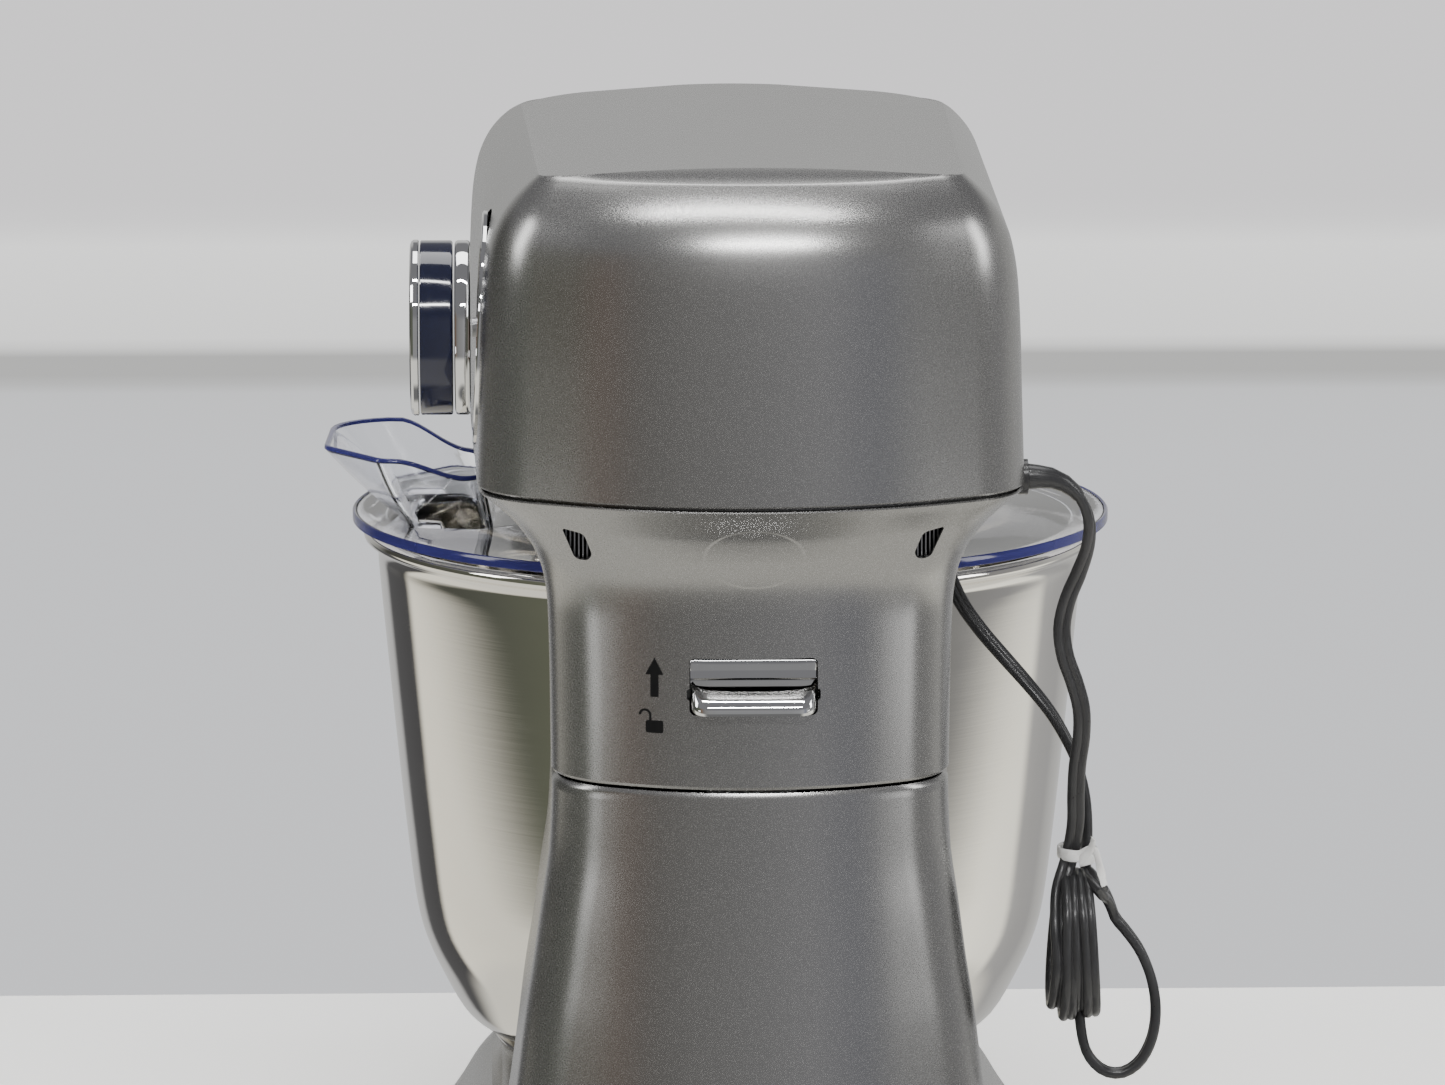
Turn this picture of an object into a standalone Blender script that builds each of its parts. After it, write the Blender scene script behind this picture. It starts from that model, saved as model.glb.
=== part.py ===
"""Tilt-head stand mixer, metres, +Z up, bowl end towards -Y, speed knob on +X.

The origin is the centre of the mixer's box at the surface it stands on.
"""

import math

import bmesh
import bpy
from mathutils import Matrix, Vector

# Driving dimensions
WALL = 0.0025
GAP = 0.0004
STAND_SEAM_Z = 0.1674
HEAD_SEAM_Z = 0.2562
SEAM_GAP = 0.0008
HEAD_TOP_Z = 0.3535
REAR_Y = 0.191
NOSE_Y = -0.147
COVER_HALF = 0.082
COVER_FRONT_SPREAD = 0.006
NECK_HALF = 0.0605
NECK_REAR_Y = 0.173
NECK_CLEARANCE = 0.007
PAN_DEPTH = 0.0097
BASE_HALF = 0.097
BASE_FRONT_Y = -0.164
BASE_REAR_Y = 0.181
BASE_BOTTOM_Z = 0.006
PLATEAU_Z = 0.0307
BOWL_Y = -0.067
BOWL_RIM_R = 0.1215
BOWL_RIM_Z = 0.209
BOWL_WALL = 0.0014
BOWL_CURL = 0.0045
BOWL_FOOT_R = 0.0795
GUARD_OVERHANG = 0.0037
GUARD_THICK = 0.0024
GUARD_LIFT = 0.003
CHUTE_OVERHANG = 0.0048
CHUTE_TOP_Z = 0.2360
KNOB_Y = 0.099
KNOB_Z = 0.298
KNOB_R = 0.0267
KNOB_PLATE_R = 0.0358
KNOB_SHAFT_R = 0.003
PIVOT_Y = 0.160
PIVOT_Z = 0.156
PIVOT_PIN_R = 0.0033
KNUCKLE_R = 0.006
LUG_HALF = 0.0135
LEVER_Z = 0.1997
LEVER_WIDTH = 0.0386
LEVER_HEIGHT = 0.0174
MOTOR_R = 0.029
ARMATURE_R = 0.017
SPINDLE_R = 0.0036
SWITCH_DEPTH = 0.0086
MOTOR_Y = 0.098
MOTOR_Z = 0.302
WHEEL_R = 0.021
WORM_R = 0.0072
PLANET_OFFSET = 0.028
PLANET_R = 0.0150
CARRIER_R = 0.057
COLLAR_CLEARANCE = 0.0071
BEATER_HALF = 0.050
CORD_R = 0.0028
GLAND_R = 0.0055
GLAND_Y = 0.131
FOOT_R = 0.014
FOOT_HEIGHT = 0.0046
ROUND = 32

CROWN_SHARE = 0.68
NECK_FRONT_Y = BOWL_Y + BOWL_RIM_R + NECK_CLEARANCE
GUARD_R = BOWL_RIM_R + GUARD_OVERHANG
COLLAR_R = CARRIER_R + COLLAR_CLEARANCE + GUARD_THICK
CHUTE_REACH = GUARD_R + CHUTE_OVERHANG
PAN_Z = HEAD_SEAM_Z - PAN_DEPTH
GUARD_Z = BOWL_RIM_Z + GUARD_LIFT
WORM_X = WHEEL_R + WORM_R + GAP
HUB_TOP_Z = PAN_Z - GAP
RING_HEIGHT = 0.0105
CARRIER_TOP_Z = HUB_TOP_Z - RING_HEIGHT - 0.001

PAINT = ("paint", (0.36, 0.355, 0.34), 0.33, 0.85)
CHROME = ("chrome", (0.82, 0.83, 0.84), 0.08, 1.0)
STEEL = ("polished_steel", (0.75, 0.74, 0.71), 0.12, 1.0)
BRUSHED = ("machined_steel", (0.55, 0.55, 0.55), 0.35, 1.0)
CAST = ("cast_aluminium", (0.60, 0.61, 0.62), 0.5, 0.9)
DARK_GLOSS = ("dark_gloss", (0.05, 0.052, 0.055), 0.18, 0.0)
BLACK = ("black_plastic", (0.02, 0.02, 0.022), 0.45, 0.0)
NAVY = ("navy_gloss", (0.01, 0.012, 0.03), 0.08, 0.0)
RUBBER = ("rubber", (0.025, 0.025, 0.025), 0.85, 0.0)
CLEAR = ("clear_guard", (0.75, 0.78, 0.88), 0.08, 0.0)
CORD = ("cord_pvc", (0.02, 0.02, 0.02), 0.4, 0.0)
TIE = ("tie", (0.85, 0.85, 0.83), 0.35, 0.0)
COPPER = ("copper", (0.72, 0.36, 0.20), 0.3, 1.0)
GREEN = ("circuit_board", (0.03, 0.22, 0.09), 0.5, 0.0)
NYLON = ("nylon", (0.82, 0.80, 0.73), 0.5, 0.0)


# Objects and materials

def clear_scene():
    for obj in list(bpy.data.objects):
        bpy.data.objects.remove(obj, do_unlink=True)


def material(spec):
    name, color, roughness, metallic = spec
    found = bpy.data.materials.get(name)
    if found:
        return found
    made = bpy.data.materials.new(name)
    made.use_nodes = True
    shader = made.node_tree.nodes["Principled BSDF"]
    shader.inputs["Base Color"].default_value = (*color, 1.0)
    shader.inputs["Roughness"].default_value = roughness
    shader.inputs["Metallic"].default_value = metallic
    return made


def mesh_object(name, bm, spec=None):
    """A named object from a bmesh with its faces turned outwards; with no material it is a cutter."""
    bmesh.ops.recalc_face_normals(bm, faces=bm.faces)
    if bm.calc_volume(signed=True) < 0:
        bmesh.ops.reverse_faces(bm, faces=bm.faces)
    mesh = bpy.data.meshes.new(name)
    bm.to_mesh(mesh)
    bm.free()
    mesh.shade_smooth()
    mesh.set_sharp_from_angle(angle=math.radians(32))
    obj = bpy.data.objects.new(name, mesh)
    bpy.context.scene.collection.objects.link(obj)
    if spec:
        mesh.materials.append(material(spec))
    else:
        obj.hide_render = True
        obj.display_type = "WIRE"
    return obj


def boolean(target, other, operation):
    other.hide_render = True
    other.display_type = "WIRE"
    modifier = target.modifiers.new(f"{operation.lower()} {other.name}", "BOOLEAN")
    modifier.operation = operation
    modifier.solver = "EXACT"
    modifier.object = other
    return target


def cut(target, *others):
    for other in others:
        boolean(target, other, "DIFFERENCE")
    return target


def join(target, *others):
    for other in others:
        boolean(target, other, "UNION")
    return target


# Outlines and solids

def filleted(corners, steps=5):
    """A closed outline whose corners (x, y, radius) are rounded by arcs of the same number of steps."""
    points = []
    count = len(corners)
    for i, (x, y, radius) in enumerate(corners):
        here = Vector((x, y))
        before = (Vector(corners[i - 1][:2]) - here).normalized()
        after = (Vector(corners[(i + 1) % count][:2]) - here).normalized()
        half = before.angle(after) / 2
        reach = radius / math.tan(half)
        centre = here + (before + after).normalized() * (radius / math.sin(half))
        start = here + before * reach - centre
        end = here + after * reach - centre
        turn = start.angle_signed(end)
        for step in range(steps + 1):
            angle = -turn * step / steps
            points.append(centre + Matrix.Rotation(angle, 2) @ start)
    return [(p.x, p.y) for p in points]


def body_plan(half, rear, front, inset=0.0, spread=0.0, rear_r=0.028, front_r=0.012, nose=0.0):
    """Plan of the upright body: crowned rear wall, straight sides that may spread towards the front."""
    crown_r = 0.095 + 0.93 * (half - NECK_HALF)
    angle = math.asin(CROWN_SHARE * half / crown_r)
    half, rear, front, crown_r = half - inset, rear - inset, front + inset, crown_r - inset
    rear_tip = rear - crown_r + crown_r / math.cos(angle)
    side_rear = rear_tip - half * math.tan(angle)
    nose_r = 0.10 - inset
    front_tip = front + nose_r - nose_r / math.cos(nose) if nose else front
    wide = half + spread
    side_front = front_tip + wide * math.tan(nose)
    beside_crown = (half - crown_r * math.sin(angle)) / math.cos(angle)
    rear_r = min(rear_r - inset, 0.98 * beside_crown * math.tan(math.pi / 4 + angle / 2))
    front_r = max(front_r - inset, 0.002)
    corners = [(0, rear_tip, crown_r), (-half, side_rear, rear_r), (-wide, side_front, front_r)]
    if nose:
        corners.append((0, front_tip, nose_r))
    corners += [(wide, side_front, front_r), (half, side_rear, rear_r)]
    return filleted(corners)


def loft(loops):
    """A closed solid through plan loops [(points, z), ...]."""
    bm = bmesh.new()
    rows = [[bm.verts.new((x, y, z)) for x, y in points] for points, z in loops]
    for low, high in zip(rows, rows[1:]):
        for i in range(len(low)):
            bm.faces.new((low[i - 1], low[i], high[i], high[i - 1]))
    bm.faces.new(rows[0])
    bm.faces.new(rows[-1])
    return bm


def prism(outline, low, high, axis="Z"):
    """An outline extruded along an axis: it lies in (y, z) for X, in (x, z) for Y and in (x, y) for Z."""
    bm = bmesh.new()
    place = {
        "X": lambda u, v, w: (w, u, v),
        "Y": lambda u, v, w: (u, w, v),
        "Z": lambda u, v, w: (u, v, w),
    }[axis]
    ends = [[bm.verts.new(place(u, v, w)) for u, v in outline] for w in (low, high)]
    for i in range(len(outline)):
        bm.faces.new((ends[0][i - 1], ends[0][i], ends[1][i], ends[1][i - 1]))
    bm.faces.new(ends[0])
    bm.faces.new(ends[1])
    return bm


def circle(u, v, radius, steps=24):
    turns = [2 * math.pi * i / steps for i in range(steps)]
    return [(u + radius * math.cos(t), v + radius * math.sin(t)) for t in turns]


def rect(u0, u1, v0, v1, radius=0.0, steps=3):
    corners = [(u0, v0), (u1, v0), (u1, v1), (u0, v1)]
    if not radius:
        return corners
    return filleted([(u, v, radius) for u, v in corners], steps)


def turned(profile, centre, axis="Z", steps=ROUND):
    """A closed profile of (radius, height) points turned about an axis through centre."""
    bm = bmesh.new()
    rows = []
    for radius, height in profile:
        if radius < 1e-6:
            rows.append([bm.verts.new((0, 0, height))])
        else:
            rows.append([bm.verts.new((x, y, height)) for x, y in circle(0, 0, radius, steps)])
    closed = profile[0][0] > 1e-6 and profile[-1][0] > 1e-6
    pairs = list(zip(rows, rows[1:]))
    if closed:
        pairs.append((rows[-1], rows[0]))
    for low, high in pairs:
        for i in range(steps):
            ring = [low[i - 1], low[i]] if len(low) > 1 else [low[0]]
            ring += [high[i], high[i - 1]] if len(high) > 1 else [high[0]]
            if len(ring) > 2:
                bm.faces.new(ring)
    facing = {"Z": Matrix(), "X": Matrix.Rotation(math.pi / 2, 4, "Y"), "Y": Matrix.Rotation(-math.pi / 2, 4, "X")}
    bm.transform(Matrix.Translation(centre) @ facing[axis])
    return bm


def rod(radius, low, high, centre, axis="Z", steps=24):
    """A plain round bar from low to high along the axis, measured from centre."""
    return turned([(0, low), (radius, low), (radius, high), (0, high)], centre, axis, steps)


def tube(outer, inner, low, high, centre, axis="Z", steps=24):
    return turned([(outer, low), (outer, high), (inner, high), (inner, low)], centre, axis, steps)


def block(low, high, radius=0.0):
    return prism(rect(low[0], high[0], low[1], high[1], radius), low[2], high[2])


def gear(centre, pitch_r, teeth, tooth, low, high, bore=0.0, internal_r=0.0):
    """Pointed teeth about a vertical axis; internal_r makes it a ring with the teeth inside."""
    outline = []
    for i in range(teeth):
        for share, lift in ((-0.32, -1), (0.0, 1), (0.32, -1)):
            angle = 2 * math.pi * (i + share) / teeth
            radius = pitch_r + lift * tooth / 2
            outline.append((centre[0] + radius * math.cos(angle), centre[1] + radius * math.sin(angle)))
    bm = prism(outline, low, high)
    if not internal_r and not bore:
        return bm
    rim = [(x, y) for x, y in outline]
    bm.free()
    other_r = internal_r or bore
    rim2 = []
    for x, y in rim:
        angle = math.atan2(y - centre[1], x - centre[0])
        rim2.append((centre[0] + other_r * math.cos(angle), centre[1] + other_r * math.sin(angle)))
    return ring_prism(rim, rim2, low, high)


def ring_prism(outline, other, low, high):
    """A wall between two outlines with as many points each."""
    bm = bmesh.new()
    rows = []
    for points, z in ((outline, low), (outline, high), (other, high), (other, low)):
        rows.append([bm.verts.new((x, y, z)) for x, y in points])
    for a, b in zip(rows, rows[1:] + rows[:1]):
        for i in range(len(a)):
            bm.faces.new((a[i - 1], a[i], b[i], b[i - 1]))
    return bm


# Shells

def column_half(z):
    """Half-width of the column: 60.5 mm at the seam, swelling towards the base."""
    down = max(0.0, 0.158 - z)
    return NECK_HALF + 0.155 * down ** 1.12 if down else NECK_HALF


def neck_half(z):
    """Half-width of the neck: straight, then a quick flare out to the head cover."""
    rise = max(0.0, (z - 0.206) / (HEAD_SEAM_Z - 0.206))
    return NECK_HALF + 0.0008 + (COVER_HALF - NECK_HALF - 0.001) * rise ** 3.2


def base_plan(inset):
    front_r = BASE_HALF - 0.006
    side_rear = BASE_REAR_Y - 0.026
    corners = [(0, BASE_REAR_Y + 0.006, 0.140), (-0.088, side_rear, 0.034)]
    corners += [(-BASE_HALF, BASE_FRONT_Y, front_r), (BASE_HALF, BASE_FRONT_Y, front_r)]
    corners += [(0.088, side_rear, 0.034)]
    wide = []
    for x, y, radius in corners:
        wide.append((x - math.copysign(inset, x) * (abs(x) > 1e-6), y - math.copysign(inset, y), radius - inset))
    return filleted(wide, 8)


def column_loops(inset, levels, lip=0.0):
    loops = []
    for z in levels:
        half = column_half(z)
        rear = NECK_REAR_Y + 0.45 * (half - NECK_HALF)
        loops.append((body_plan(half, rear, NECK_FRONT_Y, inset), z))
    if lip:
        loops.append((body_plan(NECK_HALF, NECK_REAR_Y, NECK_FRONT_Y, inset + lip), levels[-1] + lip))
    return loops


def stand_housing():
    """Base and column in one moulding, open below and at the neck; the seam is bevelled inwards and up."""
    levels = [0.012, 0.030, 0.050, 0.075, 0.100, 0.125, 0.145, 0.158, STAND_SEAM_Z]
    housing = mesh_object("stand_housing", loft(column_loops(0, levels, WALL + 0.002)), PAINT)
    steps = ((0.0, BASE_BOTTOM_Z), (0.001, 0.009), (0.006, 0.0165), (0.011, 0.024), (0.0175, 0.0295), (0.020, PLATEAU_Z))
    base = mesh_object("base_mound", loft([(base_plan(inset), z) for inset, z in steps]))
    hollow = mesh_object(
        "column_hollow", loft(column_loops(WALL, [-0.004, 0.030, 0.075, 0.100, 0.125, 0.145, 0.158, 0.170, 0.185]))
    )
    under = [(WALL, -0.004), (WALL, 0.009), (0.0085, 0.0160), (0.0135, 0.0225), (0.0205, 0.0278)]
    base_hollow = mesh_object("base_hollow", loft([(base_plan(inset), z) for inset, z in under]))
    join(housing, base)
    return cut(housing, hollow, base_hollow)


def neck_loops(inset, levels):
    loops = []
    for z in levels:
        half = neck_half(z)
        rear = NECK_REAR_Y + (half - NECK_HALF) * (REAR_Y - NECK_REAR_Y) / (COVER_HALF - NECK_HALF)
        loops.append((body_plan(half, rear, NECK_FRONT_Y, inset), z))
    return loops


def cover_plan(inset, half=COVER_HALF, rear=REAR_Y, front=NOSE_Y):
    share = half / COVER_HALF
    return body_plan(
        half, rear, front, inset, spread=COVER_FRONT_SPREAD, rear_r=0.032 * share, front_r=0.045 * share,
        nose=math.radians(12),
    )


def neck_shell():
    """Neck and the shallow pan under the head in one moulding."""
    low = STAND_SEAM_Z + SEAM_GAP
    levels = [low, 0.206, 0.218, 0.228, 0.236, 0.243, 0.249]
    loops = [(neck_loops(WALL + 0.002, [low])[0][0], low + WALL + 0.002)] + neck_loops(0, levels)
    shell = mesh_object("neck_shell", loft(loops), PAINT)
    top = HEAD_SEAM_Z - SEAM_GAP / 2
    pan_steps = ((0.016, PAN_Z), (0.009, PAN_Z + 0.0012), (0.0025, PAN_Z + 0.005), (0.0, top))
    pan = mesh_object("pan", loft([(cover_plan(inset), z) for inset, z in pan_steps]))
    neck_hollow = mesh_object(
        "neck_hollow", loft(neck_loops(WALL, [0.150, 0.206, 0.218, 0.228, 0.236, 0.243, 0.2525]))
    )
    pan_hollow_steps = ((0.016 + WALL, PAN_Z + WALL), (0.0025 + WALL, PAN_Z + 0.006), (WALL, 0.270))
    pan_hollow = mesh_object("pan_hollow", loft([(cover_plan(inset), z) for inset, z in pan_hollow_steps]))
    join(shell, pan)
    cut(shell, neck_hollow, pan_hollow)
    half_w = LEVER_WIDTH / 2
    lever_hole = block_object("lever_hole", (-half_w, 0.150, LEVER_Z - LEVER_HEIGHT / 2),
                              (half_w, 0.185, LEVER_Z + LEVER_HEIGHT / 2))
    shaft_hole = mesh_object("shaft_hole", rod(0.0085, 0.230, 0.262, (0, BOWL_Y, 0)))
    vents = [vent_cutter(side) for side in (-1, 1)]
    return cut(shell, lever_hole, shaft_hole, gland_cutter("gland_slot_low"), *vents)


def block_object(name, low, high, spec=None, radius=0.0):
    return mesh_object(name, block(low, high, radius), spec)


def vent_cutter(side):
    """A slanted teardrop opening, pointed at its upper outer end."""
    top, foot = HEAD_SEAM_Z - 0.0092, HEAD_SEAM_Z - 0.0208
    outline = filleted(
        [(0.0572, top, 0.0006), (0.0452, top - 0.0022, 0.0035), (0.0462, foot, 0.0035), (0.0545, foot + 0.0025, 0.0030)], 4
    )
    return mesh_object(f"vent_{side}", prism([(side * x, z) for x, z in outline], 0.130, 0.200, "Y"))


def gland_cutter(name):
    return mesh_object(name, rod(GLAND_R + GAP, -COVER_HALF - 0.016, 0.012 - COVER_HALF, (0, GLAND_Y, HEAD_SEAM_Z), "X"))


def cover_loops(inset):
    """Walls that lean in a little, a shoulder up to the crease of the top panel, then its slight crown.

    Each row is (z, inset of the sides, of the rear and of the nose, share of a wall that is taken downwards).
    """
    seam, top = HEAD_SEAM_Z, HEAD_TOP_Z
    shoulder = [
        (seam + SEAM_GAP / 2, 0.0, 0.0, 0.0), (seam + 0.0288, 0.0010, 0.0010, 0.0), (top - 0.0455, 0.0016, 0.0060, 0.0),
        (top - 0.0335, 0.0023, 0.0120, 0.08), (top - 0.0235, 0.0037, 0.0190, 0.25), (top - 0.0145, 0.0076, 0.0300, 0.55),
        (top - 0.0085, 0.0128, 0.0450, 0.80), (top - 0.0030, 0.0185, 0.0660, 1.0),
    ]
    panel = [(top - 0.0012, 0.0340, 0.0290, 0.0820), (top, 0.0500, 0.0370, 0.1050)]
    loops = []
    for z, side, nose, drop in shoulder:
        loops.append((cover_plan(inset + side, front=NOSE_Y + nose - side), z - inset * drop))
    for z, side, rear, nose in panel:
        loops.append((cover_plan(inset, COVER_HALF - side, REAR_Y - rear, NOSE_Y + nose), z - inset))
    return loops


def head_cover():
    cover = mesh_object("head_cover", loft(cover_loops(0)), PAINT)
    inner = cover_loops(WALL)
    inner[0] = (inner[0][0], HEAD_SEAM_Z - 0.010)
    hollow = mesh_object("cover_hollow", loft(inner))
    knob_hole = mesh_object(
        "knob_plate_hole", rod(KNOB_PLATE_R + GAP, COVER_HALF - 0.012, COVER_HALF + 0.018, (0, KNOB_Y, KNOB_Z), "X", ROUND)
    )
    return cut(cover, hollow, knob_hole, gland_cutter("gland_slot_high"))


# Stand pieces

def base_cover():
    plate = mesh_object(
        "base_cover", prism(base_plan(WALL + GAP), BASE_BOTTOM_Z - 0.001, BASE_BOTTOM_Z + 0.0015), BLACK
    )
    holes = [
        mesh_object(f"screw_hole_{i}", rod(0.0022, 0.0, 0.012, (x, y, 0), steps=12))
        for i, (x, y) in enumerate(screw_places())
    ]
    return cut(plate, *holes)


def foot_places():
    return [(sx * 0.068, y) for y in (-0.112, 0.138) for sx in (-1, 1)]


def screw_places():
    return [(sx * 0.042, y) for y in (-0.126, 0.148) for sx in (-1, 1)]


def feet():
    for (x, y), name in zip(foot_places(), ("front_left", "front_right", "rear_left", "rear_right")):
        profile = [(0, 0.0), (FOOT_R - 0.0015, 0.0), (FOOT_R, 0.0012), (FOOT_R - 0.001, FOOT_HEIGHT), (0, FOOT_HEIGHT)]
        mesh_object(f"foot_{name}", turned(profile, (x, y, 0), steps=24), RUBBER)


def base_screws():
    head_z = BASE_BOTTOM_Z - 0.001 - GAP
    profile = [(0, head_z - 0.0018), (0.003, head_z - 0.0018), (0.0038, head_z), (0.0018, head_z),
               (0.0018, head_z + 0.010), (0, head_z + 0.010)]
    for i, (x, y) in enumerate(screw_places(), 1):
        mesh_object(f"base_screw_{i}", turned(profile, (x, y, 0), steps=12), BRUSHED)


def bowl_seat():
    """Bayonet seat on the plateau, with three lugs that the bowl's foot turns under."""
    centre = (0, BOWL_Y, 0)
    low = PLATEAU_Z + GAP
    seat = mesh_object(
        "bowl_seat", turned([(0, low), (0.062, low), (0.060, low + 0.0045), (0, low + 0.0045)], centre), CAST
    )
    lugs = []
    for i in range(3):
        angle = 2 * math.pi * i / 3
        lug = block((0.050, -0.006, low + 0.001), (0.0645, 0.006, low + 0.0042))
        lug.transform(Matrix.Translation(centre) @ Matrix.Rotation(angle, 4, "Z"))
        lugs.append(mesh_object(f"seat_lug_{i}", lug))
    return join(seat, *lugs)


def hinge_bracket():
    """Shelf that fits the column, with two ears for the hinge pin and a post for the latch catch."""
    z = PIVOT_Z - 0.0380
    shelf = mesh_object(
        "hinge_bracket",
        prism(column_loops(WALL + GAP + 0.0012, [z + 0.003])[0][0], z, z + 0.003), CAST,
    )
    ears = []
    for sx in (-1, 1):
        outline = [(PIVOT_Y - 0.030, z + 0.001), (PIVOT_Y + 0.0055, z + 0.001), (PIVOT_Y + 0.0055, PIVOT_Z)]
        outline += [(PIVOT_Y + KNUCKLE_R * math.cos(a), PIVOT_Z + KNUCKLE_R * math.sin(a))
                    for a in (0.5, 1.1, 1.7, 2.3, 2.9)]
        low, high = sorted((sx * (LUG_HALF + GAP), sx * (LUG_HALF + 0.0045)))
        ears.append(mesh_object(f"ear_{sx}", prism(outline, low, high, "X")))
    catch_y = NECK_FRONT_Y + 0.0265
    post = block_object("catch_post", (0.0150, catch_y + 0.002, z + 0.001), (0.0230, catch_y + 0.008, PIVOT_Z + 0.0040))
    nose = block_object("catch_nose", (0.0150, catch_y, PIVOT_Z), (0.0230, catch_y + 0.0075, PIVOT_Z + 0.0045))
    join(shelf, *ears, post, nose)
    pin_hole = mesh_object("pin_hole_low", rod(PIVOT_PIN_R + GAP / 2, -0.03, 0.03, (0, PIVOT_Y, PIVOT_Z), "X"))
    return cut(shelf, pin_hole)


def hinge_pin():
    length = LUG_HALF + 0.0050
    return mesh_object("hinge_pin", rod(PIVOT_PIN_R, -length, length, (0, PIVOT_Y, PIVOT_Z), "X"), BRUSHED)


# Bowl

# share of the height against share of the widening
BOWL_SHAPE = ((0.0, 0.0), (0.046, 0.253), (0.128, 0.467), (0.180, 0.585), (0.245, 0.68), (0.549, 0.821),
              (0.924, 0.989), (1.0, 1.0))


def bowl_outer(z):
    """Outer radius of the bowl wall at a height: full round below, nearly straight above."""
    bottom = PLATEAU_Z + 0.0075
    share = min(1.0, max(0.0, (z - bottom) / (BOWL_RIM_Z - bottom)))
    for (low, narrow), (high, wide) in zip(BOWL_SHAPE, BOWL_SHAPE[1:]):
        if share <= high:
            grown = narrow + (wide - narrow) * (share - low) / (high - low)
            return BOWL_FOOT_R + (BOWL_RIM_R - BOWL_CURL - BOWL_FOOT_R) * grown
    return BOWL_RIM_R - BOWL_CURL


def bowl():
    bottom = PLATEAU_Z + 0.0078
    rim_z = BOWL_RIM_Z
    wall_top = rim_z - 0.012
    shares = (0.019, 0.048, 0.092, 0.136, 0.194, 0.264, 0.411, 0.640, 1.0)
    outer = [(bowl_outer(bottom + share * (wall_top - bottom)), bottom + share * (wall_top - bottom)) for share in shares]
    wall_r = BOWL_RIM_R - BOWL_CURL
    rim = [(wall_r, rim_z - 0.006), (BOWL_RIM_R, rim_z - 0.004), (BOWL_RIM_R, rim_z - 0.0012),
           (BOWL_RIM_R - 0.0012, rim_z), (wall_r - 0.0007, rim_z), (wall_r - BOWL_WALL, rim_z - 0.003)]
    inner = [(r - BOWL_WALL, z) for r, z in reversed(outer)]
    floor = bottom + BOWL_WALL
    profile = [(0, bottom), (outer[0][0] - 0.008, bottom)] + outer + rim + inner
    profile += [(outer[0][0] - 0.0085, floor), (0, floor)]
    return mesh_object("bowl", turned(profile, (0, BOWL_Y, 0), steps=36), STEEL)


def bowl_foot():
    low, high = PLATEAU_Z + GAP, PLATEAU_Z + 0.0078 - GAP
    profile = [(BOWL_FOOT_R - 0.0035, low), (BOWL_FOOT_R, high), (BOWL_FOOT_R - 0.0135, high), (BOWL_FOOT_R - 0.0135, low)]
    return mesh_object("bowl_foot", turned(profile, (0, BOWL_Y, 0), steps=36), STEEL)


# Head mechanism

def chassis():
    """Cast frame: hinge lug, arm up the neck and floor plate that carries motor and gearbox."""
    plate_low = PAN_Z + WALL + GAP
    arm = [(PIVOT_Y + KNUCKLE_R * math.cos(a), PIVOT_Z + KNUCKLE_R * math.sin(a))
           for a in (-2.6, -1.9, -1.2, -0.5, 0.2, 0.9)]
    back, toe = PIVOT_Y - 0.0055, NECK_FRONT_Y + 0.0285
    arm += [(PIVOT_Y - 0.0040, PIVOT_Z + 0.0080), (back, PIVOT_Z + 0.0160), (back, PAN_Z - 0.0165),
            (back, plate_low + 0.002), (toe, plate_low + 0.002), (toe, PAN_Z - 0.0135),
            (PIVOT_Y - 0.0350, PIVOT_Z + 0.0340), (PIVOT_Y - 0.0200, PIVOT_Z + 0.0080)]
    frame = mesh_object("chassis", prism(arm, -LUG_HALF, LUG_HALF, "X"), CAST)
    plate = block_object(
        "floor_plate", (-0.056, -0.112, plate_low), (0.056, 0.1560, plate_low + 0.004), radius=0.012
    )
    cradle = block_object(
        "motor_cradle",
        (WORM_X - 0.020, MOTOR_Y - 0.022, plate_low + 0.002),
        (WORM_X + 0.020, MOTOR_Y + 0.022, MOTOR_Z - MOTOR_R + 0.004),
    )
    join(frame, plate, cradle)
    seat = mesh_object(
        "motor_seat", rod(MOTOR_R + GAP, -0.06, 0.06, (WORM_X, MOTOR_Y, MOTOR_Z), "Y", ROUND)
    )
    pin_hole = mesh_object("pin_hole_high", rod(PIVOT_PIN_R + GAP / 2, -0.03, 0.03, (0, PIVOT_Y, PIVOT_Z), "X"))
    bearing_hole = mesh_object("bearing_hole", rod(0.0125 + GAP, 0.240, 0.262, (0, BOWL_Y, 0)))
    return cut(frame, seat, pin_hole, bearing_hole)


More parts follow.
